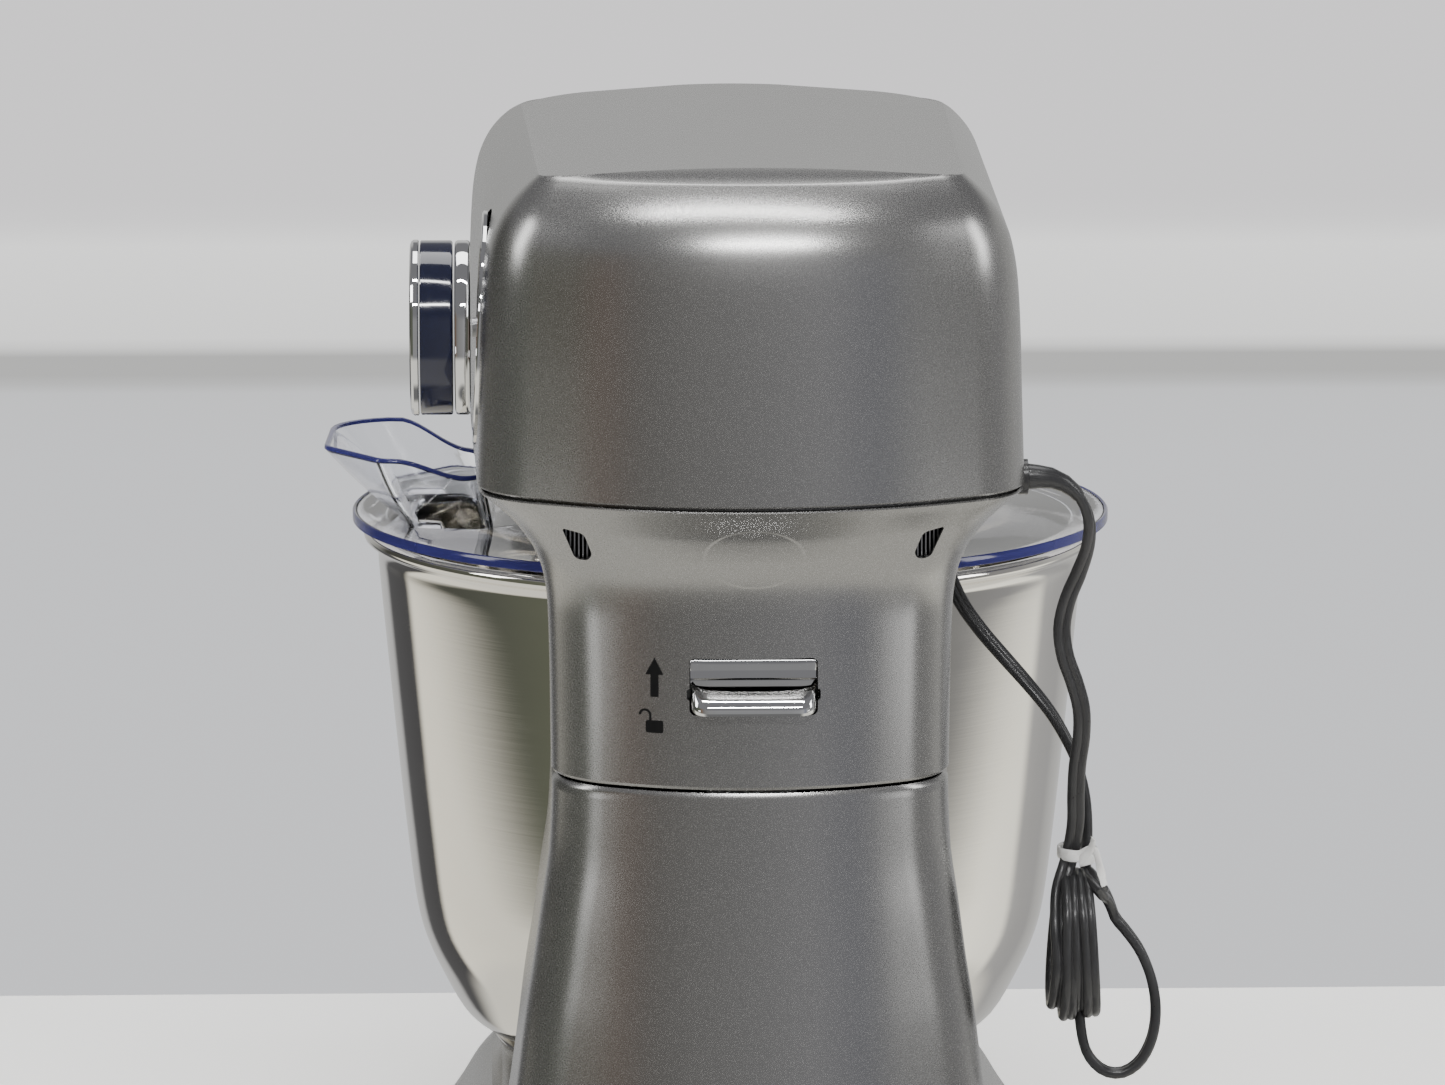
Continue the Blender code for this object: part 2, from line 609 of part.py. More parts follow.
def motor():
    centre = (WORM_X, 0, MOTOR_Z)
    mesh_object(
        "motor_stator", tube(MOTOR_R, ARMATURE_R + 0.0015, MOTOR_Y - 0.020, MOTOR_Y + 0.020, centre, "Y", ROUND), BRUSHED
    )
    for end, low, high in (("front", -0.0275, -0.0205), ("rear", 0.0205, 0.0275)):
        mesh_object(
            f"field_coil_{end}",
            tube(MOTOR_R - 0.0030, ARMATURE_R + 0.0020, MOTOR_Y + low, MOTOR_Y + high, centre, "Y", 24), COPPER,
        )
    spin = SPINDLE_R
    profile = [
        (0, BOWL_Y - 0.016), (spin, BOWL_Y - 0.016), (spin, MOTOR_Y - 0.019), (ARMATURE_R, MOTOR_Y - 0.019),
        (ARMATURE_R, MOTOR_Y + 0.019), (spin, MOTOR_Y + 0.019), (spin, MOTOR_Y + 0.0285), (0.0105, MOTOR_Y + 0.0285),
        (0.0105, MOTOR_Y + 0.0400), (spin, MOTOR_Y + 0.0400), (spin, MOTOR_Y + 0.060), (0, MOTOR_Y + 0.060),
    ]
    mesh_object("armature", turned(profile, centre, "Y", 24), COPPER)
    for side, low, high in (("upper", 0.0112, 0.0225), ("lower", -0.0225, -0.0112)):
        block_object(
            f"carbon_brush_{side}", (WORM_X - 0.004, MOTOR_Y + 0.0300, MOTOR_Z + low),
            (WORM_X + 0.004, MOTOR_Y + 0.0380, MOTOR_Z + high), BLACK,
        )
    bearing_y = MOTOR_Y + 0.050
    mesh_object(
        "motor_bearing_rear", tube(0.0080, SPINDLE_R + GAP / 2, bearing_y - 0.0035, bearing_y + 0.0035, centre, "Y"), BRUSHED
    )
    front_y = BOWL_Y + 0.028
    mesh_object(
        "motor_bearing_front", tube(0.0080, SPINDLE_R + GAP / 2, front_y - 0.0035, front_y + 0.0035, centre, "Y"), BRUSHED
    )


def cooling_fan():
    """Hub with eight blades in front of a thin back plate, pressed on the motor's spindle."""
    x, y, z = WORM_X, MOTOR_Y - 0.050, MOTOR_Z
    star = []
    for i in range(8):
        root = 2 * math.pi * i / 8
        for radius, swing in ((0.0095, -0.12), (0.0240, 0.10), (0.0240, 0.16), (0.0095, 0.05), (0.0092, 0.36)):
            star.append((x + radius * math.cos(root + swing), z + radius * math.sin(root + swing)))
    fan = mesh_object("cooling_fan", prism(star, y - 0.0060, y + 0.0050, "Y"), NYLON)
    join(fan, mesh_object("fan_disc", rod(0.0250, 0.0040, 0.0058, (x, y, z), "Y", 28)))
    return cut(fan, mesh_object("fan_bore", rod(SPINDLE_R + GAP / 2, -0.02, 0.02, (x, y, z), "Y", 16)))


def worm():
    """Two-start worm: one lobed section turned steadily along the spindle."""
    bm = bmesh.new()
    length, turns, rows, steps = 0.024, 1.5, 19, 12
    loops = []
    for row in range(rows):
        y = BOWL_Y - length / 2 + length * row / (rows - 1)
        twist = 2 * math.pi * turns * row / (rows - 1)
        ring = []
        for i in range(steps):
            angle = 2 * math.pi * i / steps
            radius = WORM_R - 0.0016 * (0.5 - 0.5 * math.cos(2 * angle))
            around = angle + twist
            ring.append(bm.verts.new((WORM_X + radius * math.cos(around), y, MOTOR_Z + radius * math.sin(around))))
        loops.append(ring)
    for low, high in zip(loops, loops[1:]):
        for i in range(steps):
            bm.faces.new((low[i - 1], low[i], high[i], high[i - 1]))
    bm.faces.new(loops[0])
    bm.faces.new(loops[-1])
    screw = mesh_object("worm", bm, BRUSHED)
    bore = mesh_object("worm_bore", rod(SPINDLE_R + GAP / 2, -0.03, 0.03, (WORM_X, BOWL_Y, MOTOR_Z), "Y", 16))
    return cut(screw, bore)


def gearbox():
    """Wheel, drive shaft, bearing and ring gear of the planetary drive."""
    centre = (0, BOWL_Y, 0)
    low = MOTOR_Z - 0.0060
    mesh_object("worm_wheel", gear((0, BOWL_Y), WHEEL_R - 0.0010, 24, 0.0018, low, MOTOR_Z + 0.0060, bore=0.0062 + GAP / 2), NYLON)
    mesh_object(
        "drive_bearing", tube(0.0125, 0.0062 + GAP / 2, PAN_Z + WALL + GAP, PAN_Z + WALL + 0.0085, centre), BRUSHED
    )
    mesh_object(
        "ring_gear",
        gear((0, BOWL_Y), 0.0442, 36, 0.0018, HUB_TOP_Z - RING_HEIGHT, HUB_TOP_Z, internal_r=0.0540), CAST,
    )


def planet_carrier():
    """Turning hub under the head, one piece with the drive shaft up into the gearbox."""
    centre = (0, BOWL_Y, 0)
    top = CARRIER_TOP_Z
    profile = [(0, top - 0.0180), (0.044, top - 0.0180), (0.0525, top - 0.0150), (CARRIER_R - 0.001, top - 0.0060),
               (CARRIER_R, top - 0.0010), (CARRIER_R - 0.001, top), (0.0062, top), (0.0062, MOTOR_Z + 0.010), (0, MOTOR_Z + 0.010)]
    hub = mesh_object("planet_carrier", turned(profile, centre), CAST)
    bore = mesh_object("carrier_bore", rod(0.0050 + GAP / 2, 0.19, HUB_TOP_Z, (PLANET_OFFSET, BOWL_Y, 0)))
    return cut(hub, bore)


def beater_drive():
    centre = (PLANET_OFFSET, BOWL_Y, 0)
    low = CARRIER_TOP_Z + GAP
    mesh_object(
        "planet_gear", gear((PLANET_OFFSET, BOWL_Y), PLANET_R - 0.0009, 12, 0.0018, low, HUB_TOP_Z - 0.0015, bore=0.0050 + GAP / 2), BRUSHED
    )
    mesh_object("beater_shaft", rod(0.0050, 0.1880, HUB_TOP_Z - 0.0010, centre), BRUSHED)
    shaft = bpy.data.objects["beater_shaft"]
    cross = mesh_object("cross_pin", rod(0.0015, -0.0095, 0.0095, (PLANET_OFFSET, BOWL_Y, 0.1960), "X", 12))
    join(shaft, cross)


def beater():
    """Flat beater: a heart-shaped frame with a spine and two ribs each side, under a slotted socket."""
    cx, y = PLANET_OFFSET, BOWL_Y
    low, high = 0.0480, 0.1620
    half = BEATER_HALF
    frame = filleted([
        (cx, low - 0.001, 0.030), (cx + half * 0.72, low + 0.004, 0.020), (cx + half, low + 0.040, 0.030),
        (cx + half * 0.86, high - 0.022, 0.020), (cx + 0.006, high + 0.006, 0.006), (cx - 0.006, high + 0.006, 0.006),
        (cx - half * 0.86, high - 0.022, 0.020), (cx - half, low + 0.040, 0.030), (cx - half * 0.72, low + 0.004, 0.020),
    ], 4)
    paddle = mesh_object("flat_beater", prism(frame, y - 0.0035, y + 0.0035, "Y"), CAST)
    windows = []
    heights = ((0.058, 0.080, 0.60, 0.78), (0.087, 0.110, 0.80, 0.78), (0.117, 0.140, 0.76, 0.52))
    for side in (-1, 1):
        for i, (z0, z1, reach0, reach1) in enumerate(heights):
            corners = [(cx + side * 0.006, z0, 0.003), (cx + side * half * reach0, z0, 0.004),
                       (cx + side * half * reach1, z1, 0.004), (cx + side * 0.006, z1, 0.003)]
            windows.append(mesh_object(f"window_{side}_{i}", prism(filleted(corners, 3), y - 0.01, y + 0.01, "Y")))
    socket = mesh_object("beater_socket", rod(0.0092, 0.158, 0.2080, (cx, y, 0)))
    bore = mesh_object("socket_bore", rod(0.0050 + GAP, 0.1870, 0.2200, (cx, y, 0)))
    slot = block_object("socket_slot", (cx - 0.012, y - 0.0022, 0.1930), (cx + 0.012, y + 0.0022, 0.2100))
    cut(paddle, *windows)
    join(paddle, socket)
    return cut(paddle, bore, slot)


# Controls

def speed_knob():
    """Turned chrome skirt, glossy band and cap on one shaft, over a chrome plate set in the cover."""
    centre = (0, KNOB_Y, KNOB_Z)
    plate = rod(KNOB_PLATE_R, -0.0028, 0.0, (0, 0, 0), "X", ROUND)
    plate.transform(Matrix.Translation((COVER_HALF + 0.0004, KNOB_Y, KNOB_Z)) @ Matrix.Rotation(math.radians(-2.9), 4, "Y"))
    plate = mesh_object("knob_plate", plate, CHROME)
    hole = mesh_object("knob_plate_bore", rod(KNOB_SHAFT_R + 0.001, COVER_HALF - 0.012, COVER_HALF + 0.018, centre, "X", 16))
    cut(plate, hole)
    start = COVER_HALF + 0.0023
    band_low = start + 0.0054
    cap_low = band_low + 0.0103
    skirt = [(0, start), (KNOB_R - 0.0006, start), (KNOB_R, start + 0.0006), (KNOB_R, band_low - 0.0012),
             (KNOB_R - 0.0006, band_low - 0.0006), (0, band_low - 0.0006)]
    band = [(0, band_low), (KNOB_R - 0.0004, band_low), (KNOB_R, band_low + 0.0004), (KNOB_R, cap_low - GAP),
            (0, cap_low - GAP)]
    cap = [(0, cap_low), (KNOB_R + 0.0002, cap_low), (KNOB_R + 0.0002, cap_low + 0.0018), (KNOB_R - 0.0009, cap_low + 0.0027),
           (KNOB_R - 0.004, cap_low + 0.0027), (KNOB_R - 0.005, cap_low + 0.0018), (0, cap_low + 0.0018)]
    mesh_object("knob_skirt", turned(skirt, centre, "X"), CHROME)
    mesh_object("knob_band", turned(band, centre, "X"), NAVY)
    mesh_object("knob_cap", turned(cap, centre, "X"), CHROME)
    mesh_object("knob_shaft", rod(KNOB_SHAFT_R, switch_face() + GAP, start - GAP, centre, "X", 16), BRUSHED)


def switch_face():
    """Outer face of the switch, which stands between the motor and the knob's plate."""
    return WORM_X + MOTOR_R + 0.0034 + SWITCH_DEPTH


def speed_switch():
    body = block_object(
        "speed_switch", (switch_face() - SWITCH_DEPTH, KNOB_Y - 0.012, KNOB_Z - 0.011),
        (switch_face(), KNOB_Y + 0.012, KNOB_Z + 0.011), BLACK, 0.002,
    )
    block_object(
        "control_board", (-0.066, 0.060, HEAD_SEAM_Z + 0.006), (-0.020, 0.118, HEAD_SEAM_Z + 0.0076), GREEN
    )
    return body


def release_lever():
    """Chrome lever in the neck's rear: concave plate above, ridge and rounded lip below, on a cross pin."""
    half = LEVER_WIDTH / 2 - GAP
    low, high = LEVER_Z - LEVER_HEIGHT / 2 + GAP, LEVER_Z + LEVER_HEIGHT / 2 - GAP
    out = NECK_REAR_Y
    side = [
        (out - 0.0116, high - 0.0010), (out - 0.0060, high), (out - 0.0048, high - 0.0010),
        (out - 0.0062, high - 0.0050), (out - 0.0030, LEVER_Z + 0.0012), (out + 0.0016, LEVER_Z - 0.0024),
        (out + 0.0040, low + 0.0034), (out + 0.0034, low + 0.0008), (out + 0.0004, low),
        (out - 0.0070, low + 0.0010), (out - 0.0122, LEVER_Z + 0.0010),
    ]
    lever = mesh_object("release_lever", prism(side, -half, half, "X"), CHROME)
    hole = mesh_object("lever_pin_bore", rod(0.0013 + GAP / 2, -0.03, 0.03, lever_axis(), "X", 12))
    notches = [
        block_object(f"lever_notch_{s}", (s * half - 0.0011, out - 0.0045, LEVER_Z - 0.0035),
                     (s * half + 0.0011, out + 0.004, LEVER_Z + 0.0012))
        for s in (-1, 1)
    ]
    cut(lever, hole, *notches)
    pin_half = LEVER_WIDTH / 2 + 0.003
    pin = mesh_object("lever_pin", rod(0.0013, -pin_half, pin_half, lever_axis(), "X", 12), BRUSHED)
    lever_spring()
    return pin


def lever_axis():
    return (0, NECK_REAR_Y - 0.0092, LEVER_Z + LEVER_HEIGHT / 2 - 0.0034)


def lever_spring():
    """Torsion spring beside the lever, wound round the pin's end."""
    x0, y0, z0 = LEVER_WIDTH / 2 + 0.0006, lever_axis()[1], lever_axis()[2]
    turns, per_turn = 2.0, 10
    points = []
    for i in range(int(turns * per_turn) + 1):
        angle = 2 * math.pi * i / per_turn
        points.append((x0 + 0.0009 * i / per_turn, y0 + 0.0022 * math.cos(angle), z0 + 0.0022 * math.sin(angle)))
    return wire("lever_spring", points, 0.0003, BRUSHED, 2)


def latch_bar():
    """Sliding bar from the lever to the column's catch, beside the chassis arm."""
    front, rear = NECK_FRONT_Y + 0.0105, NECK_REAR_Y - 0.0145
    high, low, catch = LEVER_Z + 0.0043, PIVOT_Z - 0.0040, PIVOT_Z
    outline = [
        (rear - 0.0015, high - 0.0100), (rear - 0.0015, high - 0.0040), (front + 0.0040, high - 0.0040),
        (front + 0.0040, catch), (front + 0.0152, catch), (front + 0.0152, catch - 0.0008), (front + 0.0120, low),
        (front, low), (front, high), (rear, high), (rear, high - 0.0100),
    ]
    return mesh_object("latch_bar", prism(outline, 0.0160, 0.0200, "X"), BRUSHED)


# Splash guard

def splash_guard():
    """Clear ring over the bowl with a collar up to the head and a pouring chute on the +X side."""
    z = GUARD_Z
    centre = (0, BOWL_Y, 0)
    top = z + GUARD_THICK
    ring = [
        (GUARD_R - 0.0012, z - 0.0008), (GUARD_R, z), (GUARD_R, top - 0.0006), (GUARD_R - 0.0008, top + 0.0004),
        (GUARD_R - 0.0040, top), (COLLAR_R, top), (COLLAR_R, PAN_Z - 0.0015), (COLLAR_R - GUARD_THICK, PAN_Z - 0.0015),
        (COLLAR_R - GUARD_THICK, z), (GUARD_R - 0.0040, z),
    ]
    guard = mesh_object("splash_guard", turned(ring, centre, steps=36), CLEAR)
    outer = mesh_object("chute_wall", chute(0.0, z + 0.0002, 0.0))
    inner = mesh_object("chute_hollow", chute(0.002, z - 0.006, 0.006))
    join(guard, outer)
    return cut(guard, inner)


def chute(inset, low, over):
    """A funnel with a slanted mouth: its rim is highest on the outer side."""
    near, far = COLLAR_R + 0.0115 + inset, BOWL_RIM_R - 0.0155 - inset
    mouth_near, mouth_far = COLLAR_R + 0.0145 + inset, CHUTE_REACH - inset
    corner = min(0.006, 0.4 * (far - near))
    foot = filleted([(near, BOWL_Y - 0.031 + inset, corner), (far, BOWL_Y - 0.023 + inset, corner),
                     (far, BOWL_Y + 0.037 - inset, corner), (near, BOWL_Y + 0.045 - inset, corner)], 3)
    mouth = filleted([(mouth_near, BOWL_Y - 0.041 + inset, 0.010), (mouth_far, BOWL_Y - 0.041 + inset, 0.012),
                      (mouth_far, BOWL_Y + 0.052 - inset, 0.012), (mouth_near, BOWL_Y + 0.052 - inset, 0.010)], 3)
    bm = bmesh.new()
    inner_z, outer_z = CHUTE_TOP_Z - 0.005 + over, CHUTE_TOP_Z + over
    rise = CHUTE_TOP_Z - 0.0025 - GUARD_Z
    grow = (low - GUARD_Z) / rise
    feet_row = []
    for (fx, fy), (mx, my) in zip(foot, mouth):
        feet_row.append(bm.verts.new((fx + (mx - fx) * grow, fy + (my - fy) * grow, low)))
    lift = 1 + over / rise
    mouth_row = []
    for (fx, fy), (mx, my) in zip(foot, mouth):
        share = (mx - COLLAR_R - 0.0145) / (CHUTE_REACH - COLLAR_R - 0.0145)
        mouth_row.append(bm.verts.new((fx + (mx - fx) * lift, fy + (my - fy) * lift, inner_z + (outer_z - inner_z) * share)))
    for i in range(len(foot)):
        bm.faces.new((feet_row[i - 1], feet_row[i], mouth_row[i], mouth_row[i - 1]))
    bm.faces.new(feet_row)
    bm.faces.new(mouth_row)
    return bm


# Cord

LEAD_ROUTE = [
    (-0.0877, 0.1310, 0.2562), (-0.0935, 0.1306, 0.2552), (-0.0995, 0.1288, 0.2505), (-0.1032, 0.1267, 0.2430),
    (-0.1035, 0.1246, 0.2345), (-0.1010, 0.1226, 0.2255), (-0.0976, 0.1211, 0.2165), (-0.0960, 0.1199, 0.2075),
    (-0.0972, 0.1184, 0.1985), (-0.1002, 0.1165, 0.1900), (-0.1026, 0.1144, 0.1812), (-0.1029, 0.1124, 0.1720),
    (-0.1019, 0.1103, 0.1625), (-0.1017, 0.1080, 0.1530), (-0.1019, 0.1058, 0.1440), (-0.1010, 0.1035, 0.1360),
    (-0.0998, 0.1022, 0.1298),
]
LOOP_ROUTE = [
    (-0.1149, 0.1010, 0.1122), (-0.1185, 0.1012, 0.1078), (-0.1228, 0.1014, 0.1015), (-0.1262, 0.1015, 0.0930),
    (-0.1277, 0.1015, 0.0838), (-0.1268, 0.1015, 0.0745), (-0.1232, 0.1015, 0.0668), (-0.1176, 0.1014, 0.0628),
    (-0.1115, 0.1013, 0.0636), (-0.1065, 0.1012, 0.0690), (-0.1044, 0.1010, 0.0775),
]
TAIL_ROUTE = [
    (-0.1060, 0.0960, 0.1298), (-0.1063, 0.0958, 0.1400), (-0.1055, 0.0960, 0.1500), (-0.1032, 0.0962, 0.1595),
    (-0.0995, 0.0955, 0.1680), (-0.0945, 0.0930, 0.1762), (-0.0880, 0.0890, 0.1840), (-0.0810, 0.0840, 0.1915),
    (-0.0745, 0.0785, 0.1985), (-0.0690, 0.0720, 0.2055), (-0.0655, 0.0645, 0.2120), (-0.0640, 0.0560, 0.2170),
    (-0.0640, 0.0470, 0.2198), (-0.0620, 0.0385, 0.2212), (-0.0565, 0.0318, 0.2232), (-0.0498, 0.0300, 0.2240),
]


def smooth(points, spacing):
    """Points about one spacing apart on a Catmull-Rom curve through the route."""
    ends = [Vector(p) for p in points]
    ends = [2 * ends[0] - ends[1]] + ends + [2 * ends[-1] - ends[-2]]
    made = []
    for a, b, c, d in zip(ends, ends[1:], ends[2:], ends[3:]):
        steps = max(1, round((c - b).length / spacing))
        for i in range(steps):
            t = i / steps
            made.append(0.5 * (2 * b + (c - a) * t + (2 * a - 5 * b + 4 * c - d) * t**2 + (3 * b - a - 3 * c + d) * t**3))
    return made + [Vector(points[-1])]


def wire(name, points, radius, spec, resolution=2):
    curve = bpy.data.curves.new(name, "CURVE")
    curve.dimensions = "3D"
    curve.bevel_depth = radius
    curve.bevel_resolution = resolution
    curve.use_fill_caps = True
    spline = curve.splines.new("POLY")
    spline.points.add(len(points) - 1)
    for point, place in zip(spline.points, points):
        point.co = (*place, 1.0)
    curve.materials.append(material(spec))
    obj = bpy.data.objects.new(name, curve)
    bpy.context.scene.collection.objects.link(obj)
    return obj


def cord():
    spacing = 0.012
    wire("cord_lead", smooth(LEAD_ROUTE, spacing), CORD_R, CORD)
    wire("cord_loop", smooth(LOOP_ROUTE, spacing), CORD_R, CORD)
    wire("cord_tail", smooth(TAIL_ROUTE, spacing), CORD_R, CORD)
    top, bottom, middle, half_y = 0.1292, 0.0800, 0.1010, 0.0205
    outline = rect(middle - half_y, middle + half_y, bottom, top, half_y - 0.0005, 5)
    mesh_object("cord_hank", prism(outline, -0.1125, -0.0935, "X"), CORD)
    mesh_object("cord_tie", tube(0.0087, 0.0078, 0.1310, 0.1345, (-0.1032, 0.0993, 0), steps=20), TIE)


def cord_gland():
    """Grommet clamped in the seam: flange inside the wall's notch, then a short tapered boot."""
    wall = COVER_HALF
    profile = [(0, wall - 0.0060), (0.0048, wall - 0.0060), (0.0048, wall - 0.0030), (GLAND_R, wall - 0.0030),
               (GLAND_R, wall + 0.0025), (0.0042, wall + 0.0030), (0.0034, wall + 0.0048), (0, wall + 0.0048)]
    profile = [(r, -x) for r, x in profile]
    return mesh_object("cord_gland", turned(profile, (0, GLAND_Y, HEAD_SEAM_Z), "X", 20), CORD)


def plug():
    """Two-pin plug lying on the guard behind the neck's front."""
    z, y = 0.2240, 0.0300
    stations = [(-0.0486, 0.0040, 0.0040), (-0.0440, 0.0060, 0.0055), (-0.0400, 0.0105, 0.0075),
                (-0.0220, 0.0120, 0.0080), (-0.0180, 0.0115, 0.0076)]
    bm = bmesh.new()
    rows = []
    for x, wide, tall in stations:
        ring = rect(-wide, wide, -tall, tall, min(wide, tall) * 0.6, 3)
        rows.append([bm.verts.new((x, y + u, z + v)) for u, v in ring])
    for low, high in zip(rows, rows[1:]):
        for i in range(len(low)):
            bm.faces.new((low[i - 1], low[i], high[i], high[i - 1]))
    bm.faces.new(rows[0])
    bm.faces.new(rows[-1])
    mesh_object("plug_body", bm, CORD)
    for name, offset in (("plug_pin_1", -0.0064), ("plug_pin_2", 0.0064)):
        block_object(name, (-0.0177, y + offset - 0.0008, z - 0.0032), (-0.0005, y + offset + 0.0008, z + 0.0032), BRUSHED)


def main():
    clear_scene()
    stand_housing()
    base_cover()
    feet()
    base_screws()
    bowl_seat()
    hinge_bracket()
    hinge_pin()
    bowl()
    bowl_foot()
    neck_shell()
    head_cover()
    chassis()
    motor()
    cooling_fan()
    worm()
    gearbox()
    planet_carrier()
    beater_drive()
    beater()
    speed_knob()
    speed_switch()
    release_lever()
    latch_bar()
    splash_guard()
    cord()
    cord_gland()
    plug()


main()
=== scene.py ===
import math
import bpy
import bmesh
from mathutils import Matrix, Vector


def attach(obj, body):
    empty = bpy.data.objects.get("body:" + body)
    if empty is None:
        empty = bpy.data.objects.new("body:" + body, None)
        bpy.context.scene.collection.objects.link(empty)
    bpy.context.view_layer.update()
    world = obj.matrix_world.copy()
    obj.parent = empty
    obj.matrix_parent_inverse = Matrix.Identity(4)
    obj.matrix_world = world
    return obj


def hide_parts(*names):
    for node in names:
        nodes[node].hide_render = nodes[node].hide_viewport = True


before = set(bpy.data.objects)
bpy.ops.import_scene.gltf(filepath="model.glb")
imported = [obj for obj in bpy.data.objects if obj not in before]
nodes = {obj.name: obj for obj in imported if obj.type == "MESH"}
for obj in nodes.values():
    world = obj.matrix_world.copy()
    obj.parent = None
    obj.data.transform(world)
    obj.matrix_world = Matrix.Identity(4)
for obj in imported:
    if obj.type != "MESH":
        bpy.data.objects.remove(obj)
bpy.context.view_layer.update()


# ---- camera, floor and light

view = {"place": (0.067, 2.191, 0.594), "along": (-0.02855, -1.0, -0.1736), "lens": 171.9, "sensor": 36}


def addCamera():
    bpy.ops.object.camera_add(location=view["place"])
    camera = bpy.context.object
    camera.rotation_euler = Vector(view["along"]).to_track_quat("-Z", "Y").to_euler()
    camera.data.lens = view["lens"]
    camera.data.sensor_width = view["sensor"]
    bpy.context.scene.camera = camera
    print("camera set")


studio = {
    "floor": (0.80, 0.795, 0.775),
    "backdrop": (  # height and colour of the far wall
        (-2.5, (0.83, 0.84, 0.87)), (-0.80, (0.86, 0.87, 0.90)), (-0.72, (0.84, 0.85, 0.87)), (-0.70, (0.58, 0.58, 0.57)),
        (-0.67, (0.58, 0.58, 0.57)), (-0.655, (1.20, 1.20, 1.19)), (-0.53, (1.35, 1.35, 1.34)), (-0.50, (1.12, 1.11, 1.12)),
        (-0.47, (1.06, 1.04, 1.06)), (0.5, (1.08, 1.06, 1.08)),
    ),
    "around": (  # colour of the room at each share of a turn, from the back wall round by -X
        (0.00, (0.72, 0.72, 0.71)), (0.14, (0.60, 0.60, 0.59)), (0.22, (0.30, 0.30, 0.31)), (0.30, (0.22, 0.22, 0.22)),
        (0.355, (0.38, 0.38, 0.38)), (0.385, (0.24, 0.25, 0.30)), (0.43, (0.40, 0.40, 0.42)), (0.50, (0.29, 0.29, 0.295)),
        (0.56, (0.25, 0.245, 0.24)), (0.60, (0.18, 0.175, 0.165)), (0.628, (0.25, 0.16, 0.12)), (0.66, (0.13, 0.14, 0.105)),
        (0.76, (0.09, 0.095, 0.08)), (0.88, (0.06, 0.06, 0.055)), (0.92, (0.45, 0.45, 0.44)), (1.00, (0.72, 0.72, 0.71)),
    ),
    "tableAround": (
        (0.00, (0.70, 0.70, 0.69)), (0.080, (0.50, 0.50, 0.50)), (0.10, (0.40, 0.40, 0.41)), (0.130, (0.42, 0.42, 0.43)),
        (0.150, (0.46, 0.46, 0.47)), (0.165, (1.25, 1.23, 1.13)), (0.22, (1.45, 1.42, 1.28)), (0.30, (1.30, 1.27, 1.15)),
        (0.50, (0.70, 0.70, 0.68)), (0.70, (0.90, 0.88, 0.80)), (0.866, (1.15, 1.11, 0.98)), (0.878, (0.08, 0.08, 0.085)),
        (0.925, (0.10, 0.10, 0.105)), (0.940, (0.55, 0.55, 0.56)), (1.00, (0.70, 0.70, 0.69)),
    ),
    "tableNear": (0.92, 0.90, 0.83),
    "under": (0.16, 0.16, 0.16),
    "ceiling": (0.20, 0.20, 0.21),
    "strength": 1.0,
    "cards": ((0.49, 0.40, 0.118), (-0.49, 0.40, 0.118)), "cardSize": (0.15, 0.072), "cardGlow": 3.0,
    "lights": (
        ("stripLight", (0.05, 0.75, 2.3), (0, 0.17, 0.34), (1.7, 0.10), 24),
        ("rowLight", (-0.25, 2.7, 2.35), (0, 0.17, 0.32), (1.7, 0.12), 55),
        ("topLight", (0.0, -0.7, 2.1), (0, 0, 0.2), (1.8, 0.9), 20),
        ("sideLight", (2.2, 0.2, 1.3), (0, 0, 0.2), (0.5, 1.2), 12),
        ("farLight", (-2.2, 0.4, 1.2), (0, 0, 0.2), (0.5, 1.2), 12),
    ),
}


def addStudio():
    bpy.ops.mesh.primitive_plane_add(size=1, location=(0, 1.93, 0))
    floor = bpy.context.object
    floor.name = "floor"
    floor.scale = (14, 4.4, 1)
    floor.visible_glossy = False
    top = plainFinish("tableTop", studio["floor"], 0.55)
    shader = top.node_tree.nodes["Principled BSDF"]
    shader.inputs["Emission Color"].default_value = rgb(*studio["floor"])
    shader.inputs["Emission Strength"].default_value = 0.9
    floor.data.materials.append(top)
    bpy.ops.mesh.primitive_plane_add(size=1, location=(0, -6.5, 0), rotation=(math.pi / 2, 0, 0))
    wall = bpy.context.object
    wall.name = "backdrop"
    wall.scale = (60, 10, 1)
    bpy.ops.object.transform_apply(location=True, rotation=True, scale=True)
    wall.visible_glossy = wall.visible_diffuse = False
    wall.data.materials.append(wallFinish())
    for number, (x, y, z) in enumerate(studio["cards"]):
        bpy.ops.mesh.primitive_plane_add(size=1, location=(x, y, z))
        card = bpy.context.object
        card.name = f"bounceCard{number + 1}"
        card.scale = (*studio["cardSize"], 1)
        card.rotation_euler = (Vector((0, 0.16, z)) - Vector((x, y, z))).to_track_quat("Z", "Y").to_euler()
        card.visible_camera = card.visible_diffuse = card.visible_shadow = card.visible_transmission = False
        card.data.materials.append(glowFinish("bounceCard", studio["cardGlow"]))
    addSky()
    for name, place, aim, size, power in studio["lights"]:
        bpy.ops.object.light_add(type="AREA", location=place)
        lamp = bpy.context.object
        lamp.name = name
        lamp.data.shape = "RECTANGLE"
        lamp.data.size, lamp.data.size_y = size
        lamp.data.energy = power
        lamp.rotation_euler = (Vector(aim) - Vector(place)).to_track_quat("-Z", "Y").to_euler()
    print("studio ready")


def glowFinish(name, strength):
    finish = Finish(name)
    finish.shader.inputs["Emission Strength"].default_value = strength
    cloud = finish.noise(6, 2)
    return finish.set(Base_Color=grey(0.0), Emission_Color=finish.mix(cloud, grey(0.9), grey(1.0)), Roughness=cloud * 0.1 + 0.8)


